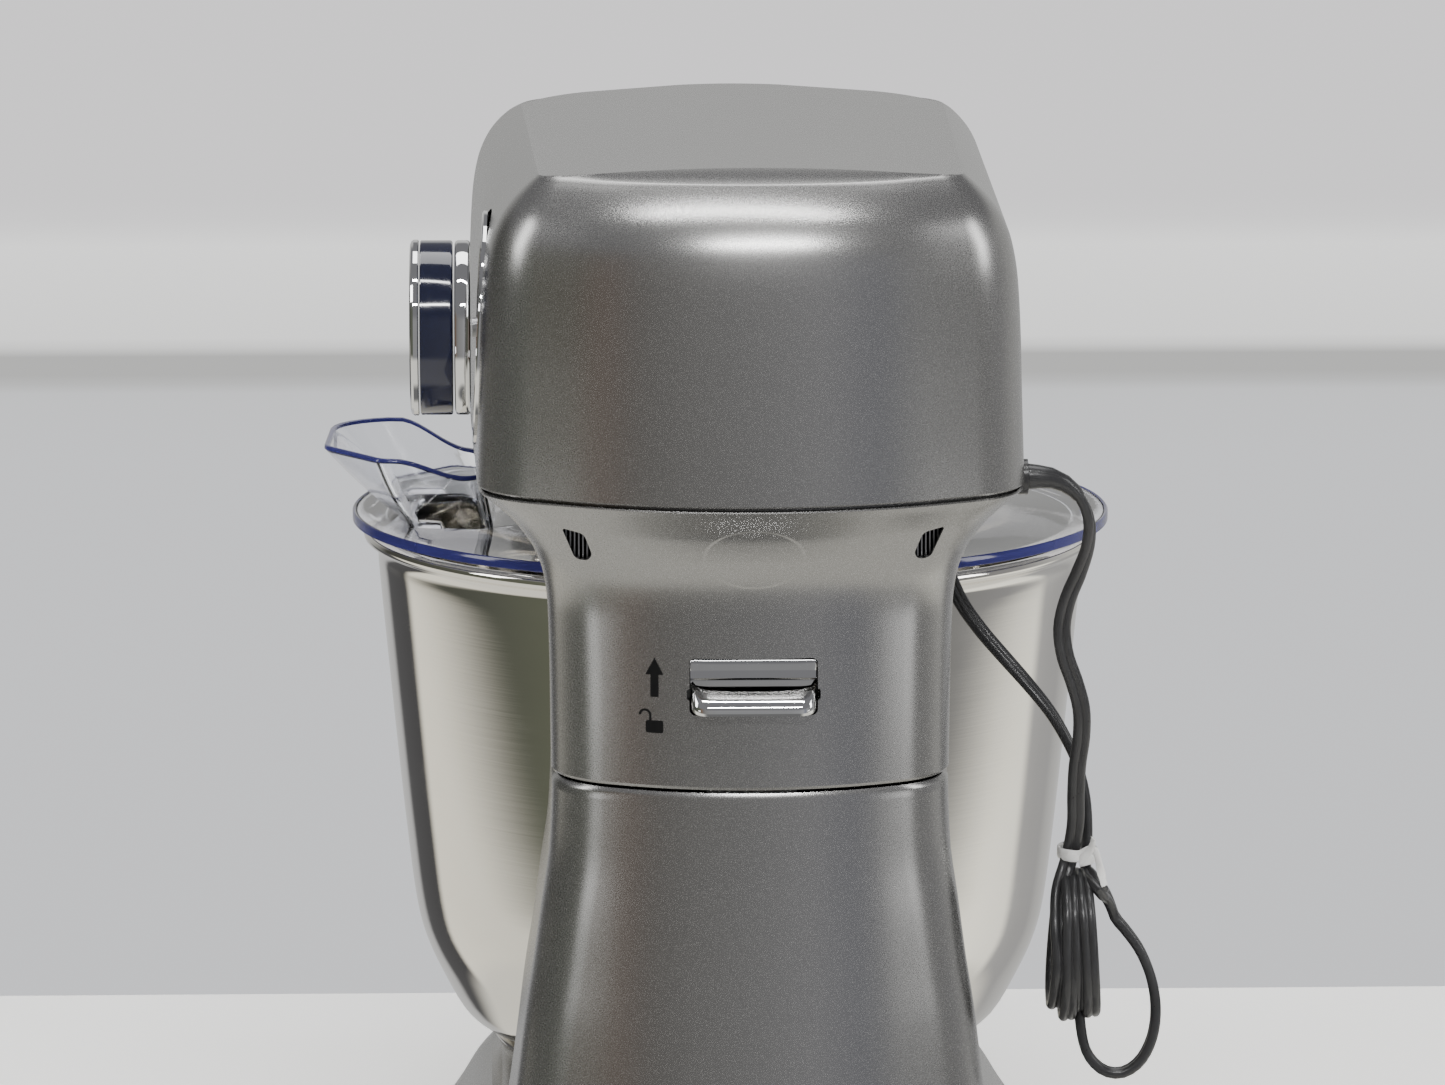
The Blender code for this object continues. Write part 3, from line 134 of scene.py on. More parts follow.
def wallFinish():
    finish = Finish("wallPaint")
    low, high = studio["backdrop"][0][0], studio["backdrop"][-1][0]
    height = (finish.axis(2) - low) / (high - low)
    colour = finish.ramp(height, [((z - low) / (high - low), rgb(*tone)) for z, tone in studio["backdrop"]])
    cloud = finish.noise(0.6, 2)
    finish.shader.inputs["Emission Strength"].default_value = 1.0
    return finish.set(Base_Color=rgb(0, 0, 0), Emission_Color=finish.mix(cloud * 0.1, colour, grey(0.7)), Roughness=cloud * 0.1 + 0.85)


def addSky():
    # a soft room for the gloss to show: pale behind the mixer, darker in front of its rear face
    world = bpy.data.worlds.new("studioRoom")
    bpy.context.scene.world = world
    world.use_nodes = True
    sky = Finish("studioRoom", world.node_tree)
    toward = sky.node("ShaderNodeTexCoord", out="Generated")
    split = sky.node("ShaderNodeSeparateXYZ", {}, {0: toward})
    east, north, up = (Wire(sky, split.socket.node.outputs[i]) for i in range(3))
    turn = sky.node("ShaderNodeMath", {"operation": "ARCTAN2"}, {0: east, 1: north}) / (2 * math.pi) + 0.5
    walls = sky.ramp(turn, [(place, rgb(*colour)) for place, colour in studio["around"]])
    flatTop = sky.ramp(turn, [(place, rgb(*colour)) for place, colour in studio["tableAround"]])
    low = sky.step(up + north * 0.25, -0.28, -0.42)
    pole = sky.step(up, -0.93, -0.995)
    high = sky.step(up, 0.26, 0.44)
    flatTop = sky.mix(sky.step(up, -0.48, -0.60), flatTop, rgb(*studio["tableNear"]))
    shade = sky.mix(low, walls, flatTop)
    shade = sky.mix(pole, shade, rgb(*studio["under"]))
    shade = sky.mix(high, shade, rgb(*studio["ceiling"]))
    ground = world.node_tree.nodes["Background"]
    sky.put(ground.inputs["Color"], shade)
    ground.inputs["Strength"].default_value = studio["strength"]
    print("room ready")


# ---- materials

class Wire:
    """A node's output that can be used in plain arithmetic."""

    def __init__(self, finish, socket):
        self.finish, self.socket = finish, socket

    def sum2(self, kind, first, second):
        return self.finish.node("ShaderNodeMath", {"operation": kind}, {0: first, 1: second})

    def __add__(self, other): return self.sum2("ADD", self, other)
    def __radd__(self, other): return self.sum2("ADD", other, self)
    def __sub__(self, other): return self.sum2("SUBTRACT", self, other)
    def __rsub__(self, other): return self.sum2("SUBTRACT", other, self)
    def __mul__(self, other): return self.sum2("MULTIPLY", self, other)
    def __rmul__(self, other): return self.sum2("MULTIPLY", other, self)
    def __truediv__(self, other): return self.sum2("DIVIDE", self, other)
    def __pow__(self, other): return self.sum2("POWER", self, other)
    def __gt__(self, other): return self.sum2("GREATER_THAN", self, other)
    def __lt__(self, other): return self.sum2("LESS_THAN", self, other)


class Finish:
    """One material, or the room's sky, being built."""

    def __init__(self, name, tree=None):
        self.tree = tree
        if not tree:
            self.material = bpy.data.materials.new(name)
            self.material.use_nodes = True
            self.tree = self.material.node_tree
            self.shader = self.tree.nodes["Principled BSDF"]
            self.where = self.node("ShaderNodeTexCoord", out="Object")

    def node(self, kind, settings=None, values=None, out=0):
        made = self.tree.nodes.new(kind)
        for key, value in (settings or {}).items():
            if key == "stops":
                ramp = made.color_ramp
                while len(ramp.elements) < len(value):
                    ramp.elements.new(0.5)
                for element, (place, colour) in zip(ramp.elements, value):
                    element.position, element.color = place, colour
            else:
                setattr(made, key, value)
        for key, value in (values or {}).items():
            self.put(made.inputs[key], value)
        return Wire(self, made.outputs[out])

    def put(self, socket, value):
        if isinstance(value, Wire):
            self.tree.links.new(value.socket, socket)
        else:
            socket.default_value = value

    def noise(self, scale, detail=2.0, rough=0.5, where=None, distortion=0.0):
        return self.node("ShaderNodeTexNoise", {}, {
            "Vector": where or self.where, "Scale": scale, "Detail": detail, "Roughness": rough,
            "Distortion": distortion,
        })

    def cells(self, scale, where=None):
        return self.node("ShaderNodeTexVoronoi", {}, {"Vector": where or self.where, "Scale": scale}, "Color")

    def stretch(self, scale, turn=(0, 0, 0), place=(0, 0, 0)):
        return self.node("ShaderNodeMapping", {}, {
            "Vector": self.where, "Scale": scale, "Rotation": turn, "Location": place})

    def axis(self, number):
        split = self.node("ShaderNodeSeparateXYZ", {}, {0: self.where})
        return Wire(self, split.socket.node.outputs[number])

    def step(self, value, low, high):
        return self.node("ShaderNodeMapRange", {"interpolation_type": "SMOOTHSTEP"}, {
            "Value": value, "From Min": low, "From Max": high})

    def ramp(self, value, stops):
        return self.node("ShaderNodeValToRGB", {"stops": stops}, {"Fac": value})

    def mix(self, share, first, second):
        mixed = self.tree.nodes.new("ShaderNodeMix")
        mixed.data_type = "RGBA"
        for number, value in ((0, share), (6, first), (7, second)):
            self.put(mixed.inputs[number], value)
        return Wire(self, mixed.outputs[2])

    def bump(self, height, distance, strength=1.0, under=None):
        values = {"Height": height, "Distance": distance, "Strength": strength}
        if under:
            values["Normal"] = under
        return self.node("ShaderNodeBump", {}, values)

    def set(self, **values):
        for key, value in values.items():
            self.put(self.shader.inputs[key.replace("_", " ")], value)
        return self.material


def rgb(red, green, blue):
    return (red, green, blue, 1.0)


def grey(value):
    return (value, value, value, 1.0)


def plainFinish(name, colour, roughness):
    finish = Finish(name)
    grain = finish.noise(60, 3)
    return finish.set(Base_Color=rgb(*colour), Roughness=grain * 0.1 + (roughness - 0.05))


paint = {
    "light": (0.405, 0.400, 0.392),
    "dark": (0.310, 0.307, 0.300),
    "flakeScale": 3400,
    "roughness": 0.27,
    "peel": 0.000003,
    "boss": (0.2395, 0.0150, 0.62),
}


def metallicPaint():
    finish = Finish("metallicPaint")
    flake = finish.cells(paint["flakeScale"])
    cloud = finish.noise(9, 3)
    wear = finish.noise(38, 5, 0.65)
    share = finish.node("ShaderNodeRGBToBW", {}, {0: flake})
    colour = finish.mix(share * 0.8 + cloud * 0.2, rgb(*paint["dark"]), rgb(*paint["light"]))
    grit = finish.noise(2600, 1)
    rough = share * 0.03 + wear * 0.016 + (paint["roughness"] - 0.023)
    # a faint round pad pressed into the rear of the neck
    high, radius, squash = paint["boss"]
    x, y, z = finish.axis(0), finish.axis(1), (finish.axis(2) - high) / squash
    reach = (x * x + z * z) ** 0.5
    pad = finish.step(reach, radius + 0.0006, radius - 0.0006) * (y > 0.15)
    under = finish.bump(pad, 0.00012, 1.0)
    return finish.set(
        Base_Color=colour, Metallic=0.93, Roughness=rough,
        Normal=finish.bump(grit, paint["peel"], 0.5, under),
    )


steel = {"light": (0.93, 0.905, 0.845), "dark": (0.84, 0.815, 0.755), "roughness": 0.035}


def polishedSteel():
    # mirror steel with faint spun rings and a few smears
    finish = Finish("polishedSteel")
    spun = finish.noise(1, 3, where=finish.stretch((8, 8, 900)))
    smear = finish.noise(24, 4, 0.6, where=finish.stretch((1, 1, 2.2)))
    colour = finish.mix(smear, rgb(*steel["dark"]), rgb(*steel["light"]))
    rough = finish.step(smear, 0.45, 0.8) * 0.05 + steel["roughness"] + spun * 0.03
    return finish.set(Base_Color=colour, Metallic=1.0, Roughness=rough, Normal=finish.bump(spun, 0.00001, 0.4))


def chromePlate():
    finish = Finish("chromePlate")
    smear = finish.noise(90, 3)
    return finish.set(
        Base_Color=finish.mix(smear, grey(0.80), grey(0.88)), Metallic=1.0,
        Roughness=finish.step(smear, 0.5, 0.9) * 0.05 + 0.025,
        Normal=finish.bump(finish.noise(260, 1), 0.00001, 0.25),
    )


def metalFinish(name, dark, light, roughness, grain=(1, 1, 1), scale=400, depth=0.00004):
    finish = Finish(name)
    line = finish.noise(scale, 3, where=finish.stretch(grain))
    stain = finish.noise(45, 4, 0.6)
    colour = finish.mix(line * 0.6 + stain * 0.4, rgb(*dark), rgb(*light))
    return finish.set(
        Base_Color=colour, Metallic=1.0, Roughness=line * 0.14 + stain * 0.08 + (roughness - 0.1),
        Normal=finish.bump(line, depth, 0.5),
    )


def plasticFinish(name, dark, light, roughness, scale=900, depth=0.00005, coat=0.0):
    finish = Finish(name)
    grain = finish.noise(scale, 2)
    cloud = finish.noise(30, 3)
    material = finish.set(
        Base_Color=finish.mix(cloud, rgb(*dark), rgb(*light)), Roughness=grain * 0.12 + cloud * 0.06 + (roughness - 0.08),
        Normal=finish.bump(grain, depth, 0.5),
    )
    finish.shader.inputs["Coat Weight"].default_value = coat
    return material


def clearPlastic(name, tint, roughness, ior=1.49):
    finish = Finish(name)
    wave = finish.noise(55, 2)
    haze = finish.noise(20, 4, 0.6)
    finish.shader.inputs["Transmission Weight"].default_value = 1.0
    finish.shader.inputs["IOR"].default_value = ior
    return finish.set(
        Base_Color=finish.mix(haze, rgb(*tint), rgb(*(0.5 + 0.5 * c for c in tint))),
        Roughness=haze * 0.05 + roughness, Normal=finish.bump(wave, 0.00012, 0.35),
    )


def printInk():
    finish = Finish("printInk")
    speck = finish.noise(900, 2)
    finish.shader.inputs["Specular IOR Level"].default_value = 0.1
    return finish.set(Base_Color=finish.mix(speck, grey(0.004), grey(0.010)), Roughness=speck * 0.1 + 0.6)


def tintedEdge():
    finish = Finish("guardEdge")
    haze = finish.noise(40, 3)
    finish.shader.inputs["Transmission Weight"].default_value = 0.35
    return finish.set(Base_Color=finish.mix(haze, rgb(0.030, 0.030, 0.155), rgb(0.050, 0.050, 0.24)), Roughness=haze * 0.05 + 0.07,
                      Normal=finish.bump(haze, 0.00002, 0.3))


def cordSkin():
    finish = Finish("cordSkin")
    grain = finish.noise(1400, 2)
    dust = finish.noise(120, 4, 0.6)
    return finish.set(
        Base_Color=finish.mix(dust, rgb(0.016, 0.016, 0.017), rgb(0.040, 0.040, 0.041)),
        Roughness=grain * 0.08 + dust * 0.08 + 0.22, Normal=finish.bump(grain, 0.00002, 0.5),
    )


def makeFinishes():
    made = {
        "paint": metallicPaint(),
        "steel": polishedSteel(),
        "chrome": chromePlate(),
        "brushed": metalFinish("brushedSteel", (0.42, 0.42, 0.43), (0.62, 0.62, 0.62), 0.34, (1, 1, 14), 90),
        "cast": metalFinish("castAluminium", (0.50, 0.505, 0.51), (0.70, 0.70, 0.70), 0.46, (1, 1, 1), 700, 0.00012),
        "copper": metalFinish("copperWire", (0.45, 0.19, 0.09), (0.78, 0.40, 0.22), 0.30, (1, 1, 30), 60, 0.0001),
        "navy": plasticFinish("navyGloss", (0.006, 0.008, 0.022), (0.010, 0.012, 0.034), 0.09, 300, 0.000005, 0.6),
        "black": plasticFinish("blackPlastic", (0.010, 0.010, 0.011), (0.022, 0.022, 0.024), 0.48),
        "ink": printInk(),
        "rubber": plasticFinish("footRubber", (0.016, 0.016, 0.016), (0.034, 0.034, 0.034), 0.80, 1500, 0.0001),
        "nylon": plasticFinish("nylonMoulding", (0.70, 0.68, 0.60), (0.82, 0.80, 0.73), 0.48),
        "board": plasticFinish("circuitBoard", (0.010, 0.12, 0.045), (0.030, 0.24, 0.10), 0.42, 220, 0.0001),
        "tie": plasticFinish("tiePlastic", (0.72, 0.72, 0.70), (0.86, 0.86, 0.84), 0.28),
        "clear": clearPlastic("clearGuard", (0.90, 0.915, 0.955), 0.02),
        "edge": tintedEdge(),
        "cord": cordSkin(),
    }
    print("finishes ready")
    return made


addCamera()
finishes = makeFinishes()
addStudio()


# ---- shapes

def blendPoints(points, pieces):
    # a smooth run through the given points, several steps between each two
    ends = [Vector(p) for p in points]
    ends = [2 * ends[0] - ends[1]] + ends + [2 * ends[-1] - ends[-2]]
    made = []
    for a, b, c, d in zip(ends, ends[1:], ends[2:], ends[3:]):
        for i in range(pieces):
            t = i / pieces
            made.append(0.5 * (2 * b + (c - a) * t + (2 * a - 5 * b + 4 * c - d) * t**2 + (3 * b - a - 3 * c + d) * t**3))
    return made + [Vector(points[-1])]


def selectNone():
    if bpy.context.mode != "OBJECT":
        bpy.ops.object.mode_set(mode="OBJECT")
    bpy.ops.object.select_all(action="DESELECT")


def ringBody(name, rings, ends=("flat", "flat")):
    # one circle primitive, extruded ring by ring to the given points; ends are flat, pole, open or joined
    selectNone()
    bpy.ops.mesh.primitive_circle_add(vertices=len(rings[0]), radius=1, location=(0, 0, 0))
    piece = bpy.context.object
    piece.name = piece.data.name = name
    bpy.ops.object.mode_set(mode="EDIT")
    mesh = piece.data
    made = bmesh.from_edit_mesh(mesh)
    made.verts.ensure_lookup_table()
    order = list(range(len(rings[0])))
    first = list(order)
    for vert, point in zip(made.verts, rings[0]):
        vert.co = point
    for ring in rings[1:]:
        bpy.ops.mesh.extrude_edges_indiv()
        made = bmesh.from_edit_mesh(mesh)
        made.verts.index_update()
        made.verts.ensure_lookup_table()
        order = [next(e.other_vert(made.verts[i]).index for e in made.verts[i].link_edges
                      if e.other_vert(made.verts[i]).select) for i in order]
        for i, point in zip(order, ring):
            made.verts[i].co = point
    bmesh.update_edit_mesh(mesh)
    bpy.ops.mesh.select_mode(type="VERT")
    if "joined" in ends:
        pickVerts(mesh, set(first) | set(order))
        bpy.ops.mesh.bridge_edge_loops()
    else:
        for end, ring in ((ends[1], order), (ends[0], first)):
            if end == "open":
                continue
            pickVerts(mesh, set(ring))
            if end == "flat":
                bpy.ops.mesh.edge_face_add()
            else:
                bpy.ops.mesh.merge(type="CENTER")
    bpy.ops.mesh.select_all(action="SELECT")
    bpy.ops.mesh.normals_make_consistent(inside=False)
    bpy.ops.object.mode_set(mode="OBJECT")
    return piece


def pickVerts(mesh, wanted):
    bpy.ops.mesh.select_all(action="DESELECT")
    made = bmesh.from_edit_mesh(mesh)
    made.verts.index_update()
    for vert in made.verts:
        if vert.index in wanted:
            vert.select = True
    for edge in made.edges:
        if edge.is_boundary and edge.verts[0].select and edge.verts[1].select:
            edge.select = True
    bmesh.update_edit_mesh(mesh)


def useOnly(piece):
    selectNone()
    piece.select_set(True)
    bpy.context.view_layer.objects.active = piece


def applyAll(piece):
    useOnly(piece)
    for modifier in list(piece.modifiers):
        bpy.ops.object.modifier_apply(modifier=modifier.name)


def cutAway(piece, cutter, operation="DIFFERENCE"):
    modifier = piece.modifiers.new("cut", "BOOLEAN")
    modifier.operation = operation
    modifier.solver = "MANIFOLD"
    modifier.object = cutter
    applyAll(piece)
    bpy.data.objects.remove(cutter, do_unlink=True)


def wall(piece, thickness):
    modifier = piece.modifiers.new("wall", "SOLIDIFY")
    modifier.thickness = thickness
    modifier.offset = -1
    applyAll(piece)


def softEdges(piece, width, segments=2, angle=35):
    modifier = piece.modifiers.new("round", "BEVEL")
    modifier.width = width
    modifier.segments = segments
    modifier.limit_method = "ANGLE"
    modifier.angle_limit = math.radians(angle)
    applyAll(piece)


def place(piece, body, finish, slot=None, stands=(), smooth=32):
    useOnly(piece)
    bpy.ops.object.transform_apply(location=True, rotation=True, scale=True)
    bpy.ops.object.shade_smooth_by_angle(angle=math.radians(smooth))
    piece.data.materials.clear()
    piece.data.materials.append(finishes[finish])
    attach(piece, body)
    if stands:
        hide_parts(*stands)
    return piece


def turnedRings(profile, centre, axis="Z", count=96):
    # one ring for each (radius, height) of a turned profile
    rings = []
    for radius, height in profile:
        ring = []
        for i in range(count):
            angle = 2 * math.pi * i / count
            a, b = radius * math.cos(angle), radius * math.sin(angle)
            flat = {"Z": (a, b, height), "X": (height, a, b), "Y": (b, height, a)}[axis]
            ring.append(Vector(centre) + Vector(flat))
        rings.append(ring)
    return rings


def fillet(corners, steps):
    # rounds each corner (x, y, radius) of a closed outline; returns one list of points for each corner
    arcs = []
    for i, (x, y, radius) in enumerate(corners):
        here = Vector((x, y))
        before = (Vector(corners[i - 1][:2]) - here).normalized()
        after = (Vector(corners[(i + 1) % len(corners)][:2]) - here).normalized()
        half = before.angle(after) / 2
        reach = radius / math.tan(half)
        centre = here + (before + after).normalized() * (radius / math.sin(half))
        start, end = here + before * reach - centre, here + after * reach - centre
        turn = start.angle_signed(end)
        count = steps[i]
        arcs.append([centre + Matrix.Rotation(-turn * k / count, 2) @ start for k in range(count + 1)])
    return arcs


# ---- upright body plans

body = {
    "neckHalf": 0.0605, "neckRear": 0.173, "neckFront": 0.0615, "coverHalf": 0.082, "rear": 0.191, "nose": -0.147,
    "spread": 0.006, "crownShare": 0.68, "sideTop": 0.1385, "sideEnd": 0.0765, "sideSteps": 9,
}
arcSteps = {"crown": 34, "rear": 12, "front": 10, "nose": 18}


def bodyArcs(half, rear, front, inset=0.0, spread=0.0, rearR=0.028, frontR=0.012, nose=0.0):
    crownR = 0.095 + 0.93 * (half - body["neckHalf"])
    angle = math.asin(body["crownShare"] * half / crownR)
    half, rear, front, crownR = half - inset, rear - inset, front + inset, crownR - inset
    rearTip = rear - crownR + crownR / math.cos(angle)
    sideRear = rearTip - half * math.tan(angle)
    noseR = 0.10 - inset
    frontTip = front + noseR - noseR / math.cos(nose) if nose else front
    wide = half + spread
    sideFront = frontTip + wide * math.tan(nose)
    rearR, frontR = rearR - inset, max(frontR - inset, 0.002)
    corners = [(0, rearTip, crownR), (-half, sideRear, rearR), (-wide, sideFront, frontR)]
    steps = [arcSteps["crown"], arcSteps["rear"], arcSteps["front"]]
    if nose:
        corners.append((0, frontTip, noseR))
        steps.append(arcSteps["nose"])
    corners += [(wide, sideFront, frontR), (half, sideRear, rearR)]
    steps += [arcSteps["front"], arcSteps["rear"]]
    arcs = fillet(corners, steps)
    if not nose:
        a, b = arcs[2][-1], arcs[3][0]
        arcs.insert(3, [a.lerp(b, (k + 0.5) / (arcSteps["nose"] + 1)) for k in range(arcSteps["nose"] + 1)])
    return arcs


def bodyRing(arcs):
    # crown, corner, side, front corner, front, front corner, side, corner; sides hold points at fixed places
    crown, left, leftFront, front, rightFront, right = arcs

    def side(a, b):
        made = []
        top, end = min(body["sideTop"], a.y - 0.001), max(body["sideEnd"], b.y + 0.001)
        for k in range(body["sideSteps"]):
            y = top + (end - top) * k / (body["sideSteps"] - 1)
            made.append(a.lerp(b, (a.y - y) / (a.y - b.y)))
        return made

    down = side(left[-1], leftFront[0])
    up = side(right[0], rightFront[-1])[::-1]
    return crown, left, down, leftFront + front + rightFront, up, right


def flat(parts):
    return [p for part in parts for p in part]


def coverPlan(inset):
    return bodyArcs(body["coverHalf"], body["rear"], body["nose"], inset, body["spread"], 0.032, 0.045, math.radians(12))


# ---- head cover

cover = {
    "seam": 0.2566, "top": 0.3535, "crease": 0.0185, "panelRear": 0.1565, "wall": 0.0024, "crownAt": 0.0635,
    "rows": (  # height, inset of the sides and rear, inset of the nose
        (0.2572, 0.0, 0.0), (0.2700, 0.0004, 0.0004), (0.2850, 0.0009, 0.0012), (0.3000, 0.0013, 0.0040),
        (0.3110, 0.0018, 0.0080), (0.3200, 0.0025, 0.0125), (0.3270, 0.0036, 0.0170), (0.3330, 0.0052, 0.0225),
        (0.3385, 0.0078, 0.0290), (0.3430, 0.0110, 0.0370), (0.3470, 0.0147, 0.0480), (0.3502, 0.0182, 0.0640),
    ),
    "knob": (0.0, 0.099, 0.298), "knobHole": 0.0362,
}


def crownHeight(x):
    return cover["top"] - 0.0031 * min(1.0, abs(x) / cover["crownAt"]) ** 2


def headCover():
    def ring(z, side, nose):
        arcs = bodyArcs(body["coverHalf"] , body["rear"], body["nose"] + nose - side, side, body["spread"],
                        0.032, 0.045, math.radians(12))
        return [Vector((p.x, p.y, z)) for p in flat(bodyRing(arcs))]

    rows = blendPoints([(z, side, nose) for z, side, nose in cover["rows"]], 4)
    rings = [ring(cover["seam"], 0.0005, 0.0005)] + [ring(*row) for row in rows]
    rings.append(ring(0.3505, 0.0187, 0.0655))
    crease = rings[-1]
    panel = [Vector((p.x * 0.992, min(p.y - 0.0004, cover["panelRear"]), 0)) for p in crease]
    middle = (cover["panelRear"] + min(p.y for p in panel)) / 2
    for share in (1.0, 0.985, 0.80, 0.60, 0.40, 0.20, 0.05):
        ring2 = []
        for p in panel:
            x, y = p.x * share, middle + (p.y - middle) * (0.35 + 0.65 * share)
            ring2.append(Vector((x, y, crownHeight(x))))
        rings.append(ring2)
    piece = ringBody("headShell", rings, ("open", "pole"))
    wall(piece, cover["wall"])
    selectNone()
    bpy.ops.mesh.primitive_cylinder_add(vertices=96, radius=cover["knobHole"], depth=0.03,
                                        location=(0.085, cover["knob"][1], cover["knob"][2]), rotation=(0, math.pi / 2, 0))
    cutAway(piece, bpy.context.object)
    place(piece, "head", "paint", "paint", ["head_cover"], 24)
    print("head cover")


# ---- neck with the pan under the head

neck = {
    "rows": (  # height and half-width down the rear and the sides
        (0.2552, 0.0820), (0.2533, 0.0800), (0.2510, 0.0773), (0.2487, 0.0747), (0.2460, 0.0719), (0.2428, 0.0694),
        (0.2398, 0.0673), (0.2368, 0.0655), (0.2308, 0.0631), (0.2232, 0.0617), (0.2152, 0.0612), (0.2000, 0.0608),
        (0.1850, 0.0606), (0.1720, 0.0605), (0.1692, 0.0605),
    ),
    "pan": 0.2465, "panInset": 0.016, "wall": 0.0024, "bottom": 0.1683,
    "lever": (0.0192, 0.1910, 0.2084), "notch": (0.0200, 0.1955, 0.1990),
    "vent": ((0.0571, 0.2473, 0.0005), (0.0505, 0.2458, 0.0030), (0.0472, 0.2366, 0.0022), (0.0532, 0.2372, 0.0026)),
}


def neckRing(z, half, progress):
    # progress runs from 0 at the seam to 1 where the pan has met the neck's front wall
    share = (half - body["neckHalf"]) / (body["coverHalf"] - body["neckHalf"])
    rear = body["neckRear"] + share * (body["rear"] - body["neckRear"])
    own = bodyRing(bodyArcs(half, rear, body["neckFront"], rearR=0.028 + 0.004 * share))
    inset = neck["panInset"] * min(1.0, progress / 0.25) ** 1.6
    pan = bodyRing(coverPlan(inset))
    stand = bodyRing(bodyArcs(body["neckHalf"], body["neckRear"], body["neckFront"]))
    drop = 0.2552 + (neck["pan"] - 0.2552) * math.sin(min(1.0, progress / 0.25) * math.pi / 2)
    across = min(1.0, max(0.0, (progress - 0.25) / 0.75))
    ring = []
    for part in range(6):
        for k, p in enumerate(own[part]):
            under = pan[part][k].lerp(stand[part][k], across)
            low = Vector((under.x, under.y, drop))
            here = Vector((p.x, p.y, z))
            if part == 3:
                weight = 1.0
            elif part in (2, 4):
                weight = max(0.0, (0.112 - p.y) / (0.112 - body["sideEnd"])) ** 2
            else:
                weight = 0.0
            if progress >= 1.0:
                weight = 0.0
            ring.append(here.lerp(low, min(1.0, weight)))
    return ring


def teardropCutter(side):
    points = [p for arc in fillet([(side * x, z, r) for x, z, r in neck["vent"]][::side], [6] * 4) for p in arc]
    ring = [[Vector((p.x, y, p.y)) for p in points] for y in (0.1385, 0.2005)]
    return ringBody("ventCutter", ring)


def boxCutter(low, high, radius=0.0015, axis="Y"):
    corners = [(low[0], low[2], radius), (high[0], low[2], radius), (high[0], high[2], radius), (low[0], high[2], radius)]
    points = [p for arc in fillet(corners, [4] * 4) for p in arc]
    return ringBody("boxCutter", [[Vector((p.x, y, p.y)) for p in points] for y in (low[1], high[1])])


def neckShell():
    rows = blendPoints([(z, half, 0) for z, half in neck["rows"]], 3)
    last = 10 * 3
    rings = [neckRing(0.2557, 0.0813, 0.0)]
    for number, (z, half, _) in enumerate(rows):
        rings.append(neckRing(z, max(half, body["neckHalf"]), min(1.0, number / last)))
    half = body["neckHalf"] - 0.0006
    rings.append([Vector((p.x, p.y, neck["bottom"])) for p in
                  flat(bodyRing(bodyArcs(half, body["neckRear"] - 0.0006, body["neckFront"] + 0.0006)))])
    piece = ringBody("neckMoulding", rings, ("open", "open"))
    wall(piece, neck["wall"])
    wide, low, high = neck["lever"]
    cutAway(piece, boxCutter((-wide, 0.150, low), (wide, 0.190, high), 0.0018))
    wide, low, high = neck["notch"]
    cutAway(piece, boxCutter((-wide, 0.150, low), (wide, 0.190, high), 0.0008))
    for side in (-1, 1):
        cutAway(piece, teardropCutter(side))
    place(piece, "head", "paint", "paint", ["neck_shell"], 28)
    print("neck")
    return piece


def ventRibs(neckPiece):
    # upright fins a little way behind each vent, following the wall
    low, high, back = 0.2368, 0.2470, 0.0042
    for side, name in ((-1, "ventRibsRight"), (1, "ventRibsLeft")):
        fins = []
        for number in range(7):
            x = side * (0.0482 + 0.00125 * number)
            hit, point, _, _ = neckPiece.ray_cast(Vector((x, 0.30, low - 0.0010)), Vector((0, -1, 0)))
            y = point.y - back
            selectNone()
            bpy.ops.mesh.primitive_cube_add(size=1, location=(x, y - 0.004, (low + high) / 2))
            fin = bpy.context.object
            fin.scale = (0.0006, 0.008, high - low)
            fins.append(fin)
        selectNone()
        for fin in fins:
            fin.select_set(True)
        bpy.context.view_layer.objects.active = fins[0]
        bpy.ops.object.join()
        piece = bpy.context.object
        piece.name = piece.data.name = name
        bpy.ops.object.transform_apply(location=True, rotation=True, scale=True)
        softEdges(piece, 0.00012, 1)
        place(piece, "head", "brushed", "cast_aluminium")
    print("vent ribs")


# ---- stand: column running out into the base

stand = {
    "column": (  # height and half-width
        (0.1655, 0.0603), (0.1580, 0.0605), (0.1430, 0.0613), (0.1280, 0.0635), (0.1090, 0.0661), (0.0930, 0.0687),
        (0.0700, 0.0716), (0.0500, 0.0745), (0.0400, 0.0765), (0.0345, 0.0782),
    ),
    "mound": (
        (0.0312, 0.0803), (0.0292, 0.0826), (0.0262, 0.0852), (0.0222, 0.0878), (0.0165, 0.0912), (0.0110, 0.0950),
        (0.0085, 0.0964), (0.0068, 0.0970),
    ),
    "half": 0.097, "frontY": -0.073, "rear": 0.1812, "bottom": 0.0060, "wall": 0.0024,
}


def standRing(z, half, progress):
    rear = min(stand["rear"], body["neckRear"] + 0.45 * (half - body["neckHalf"]))
    own = list(bodyRing(bodyArcs(half, rear, body["neckFront"])))
    if progress > 0:
        count = len(own[3])
        radius = max(0.0, half - 0.006)
        round_ = []
        for k in range(count):
            angle = math.pi * k / (count - 1)
            side = -1 if k < count / 2 else 1
            round_.append(Vector((side * 0.006 - radius * math.cos(angle), stand["frontY"] - radius * math.sin(angle))))
        own[3] = [a.lerp(b, progress) for a, b in zip(own[3], round_)]
    return [Vector((p.x, p.y, z)) for p in flat(own)]


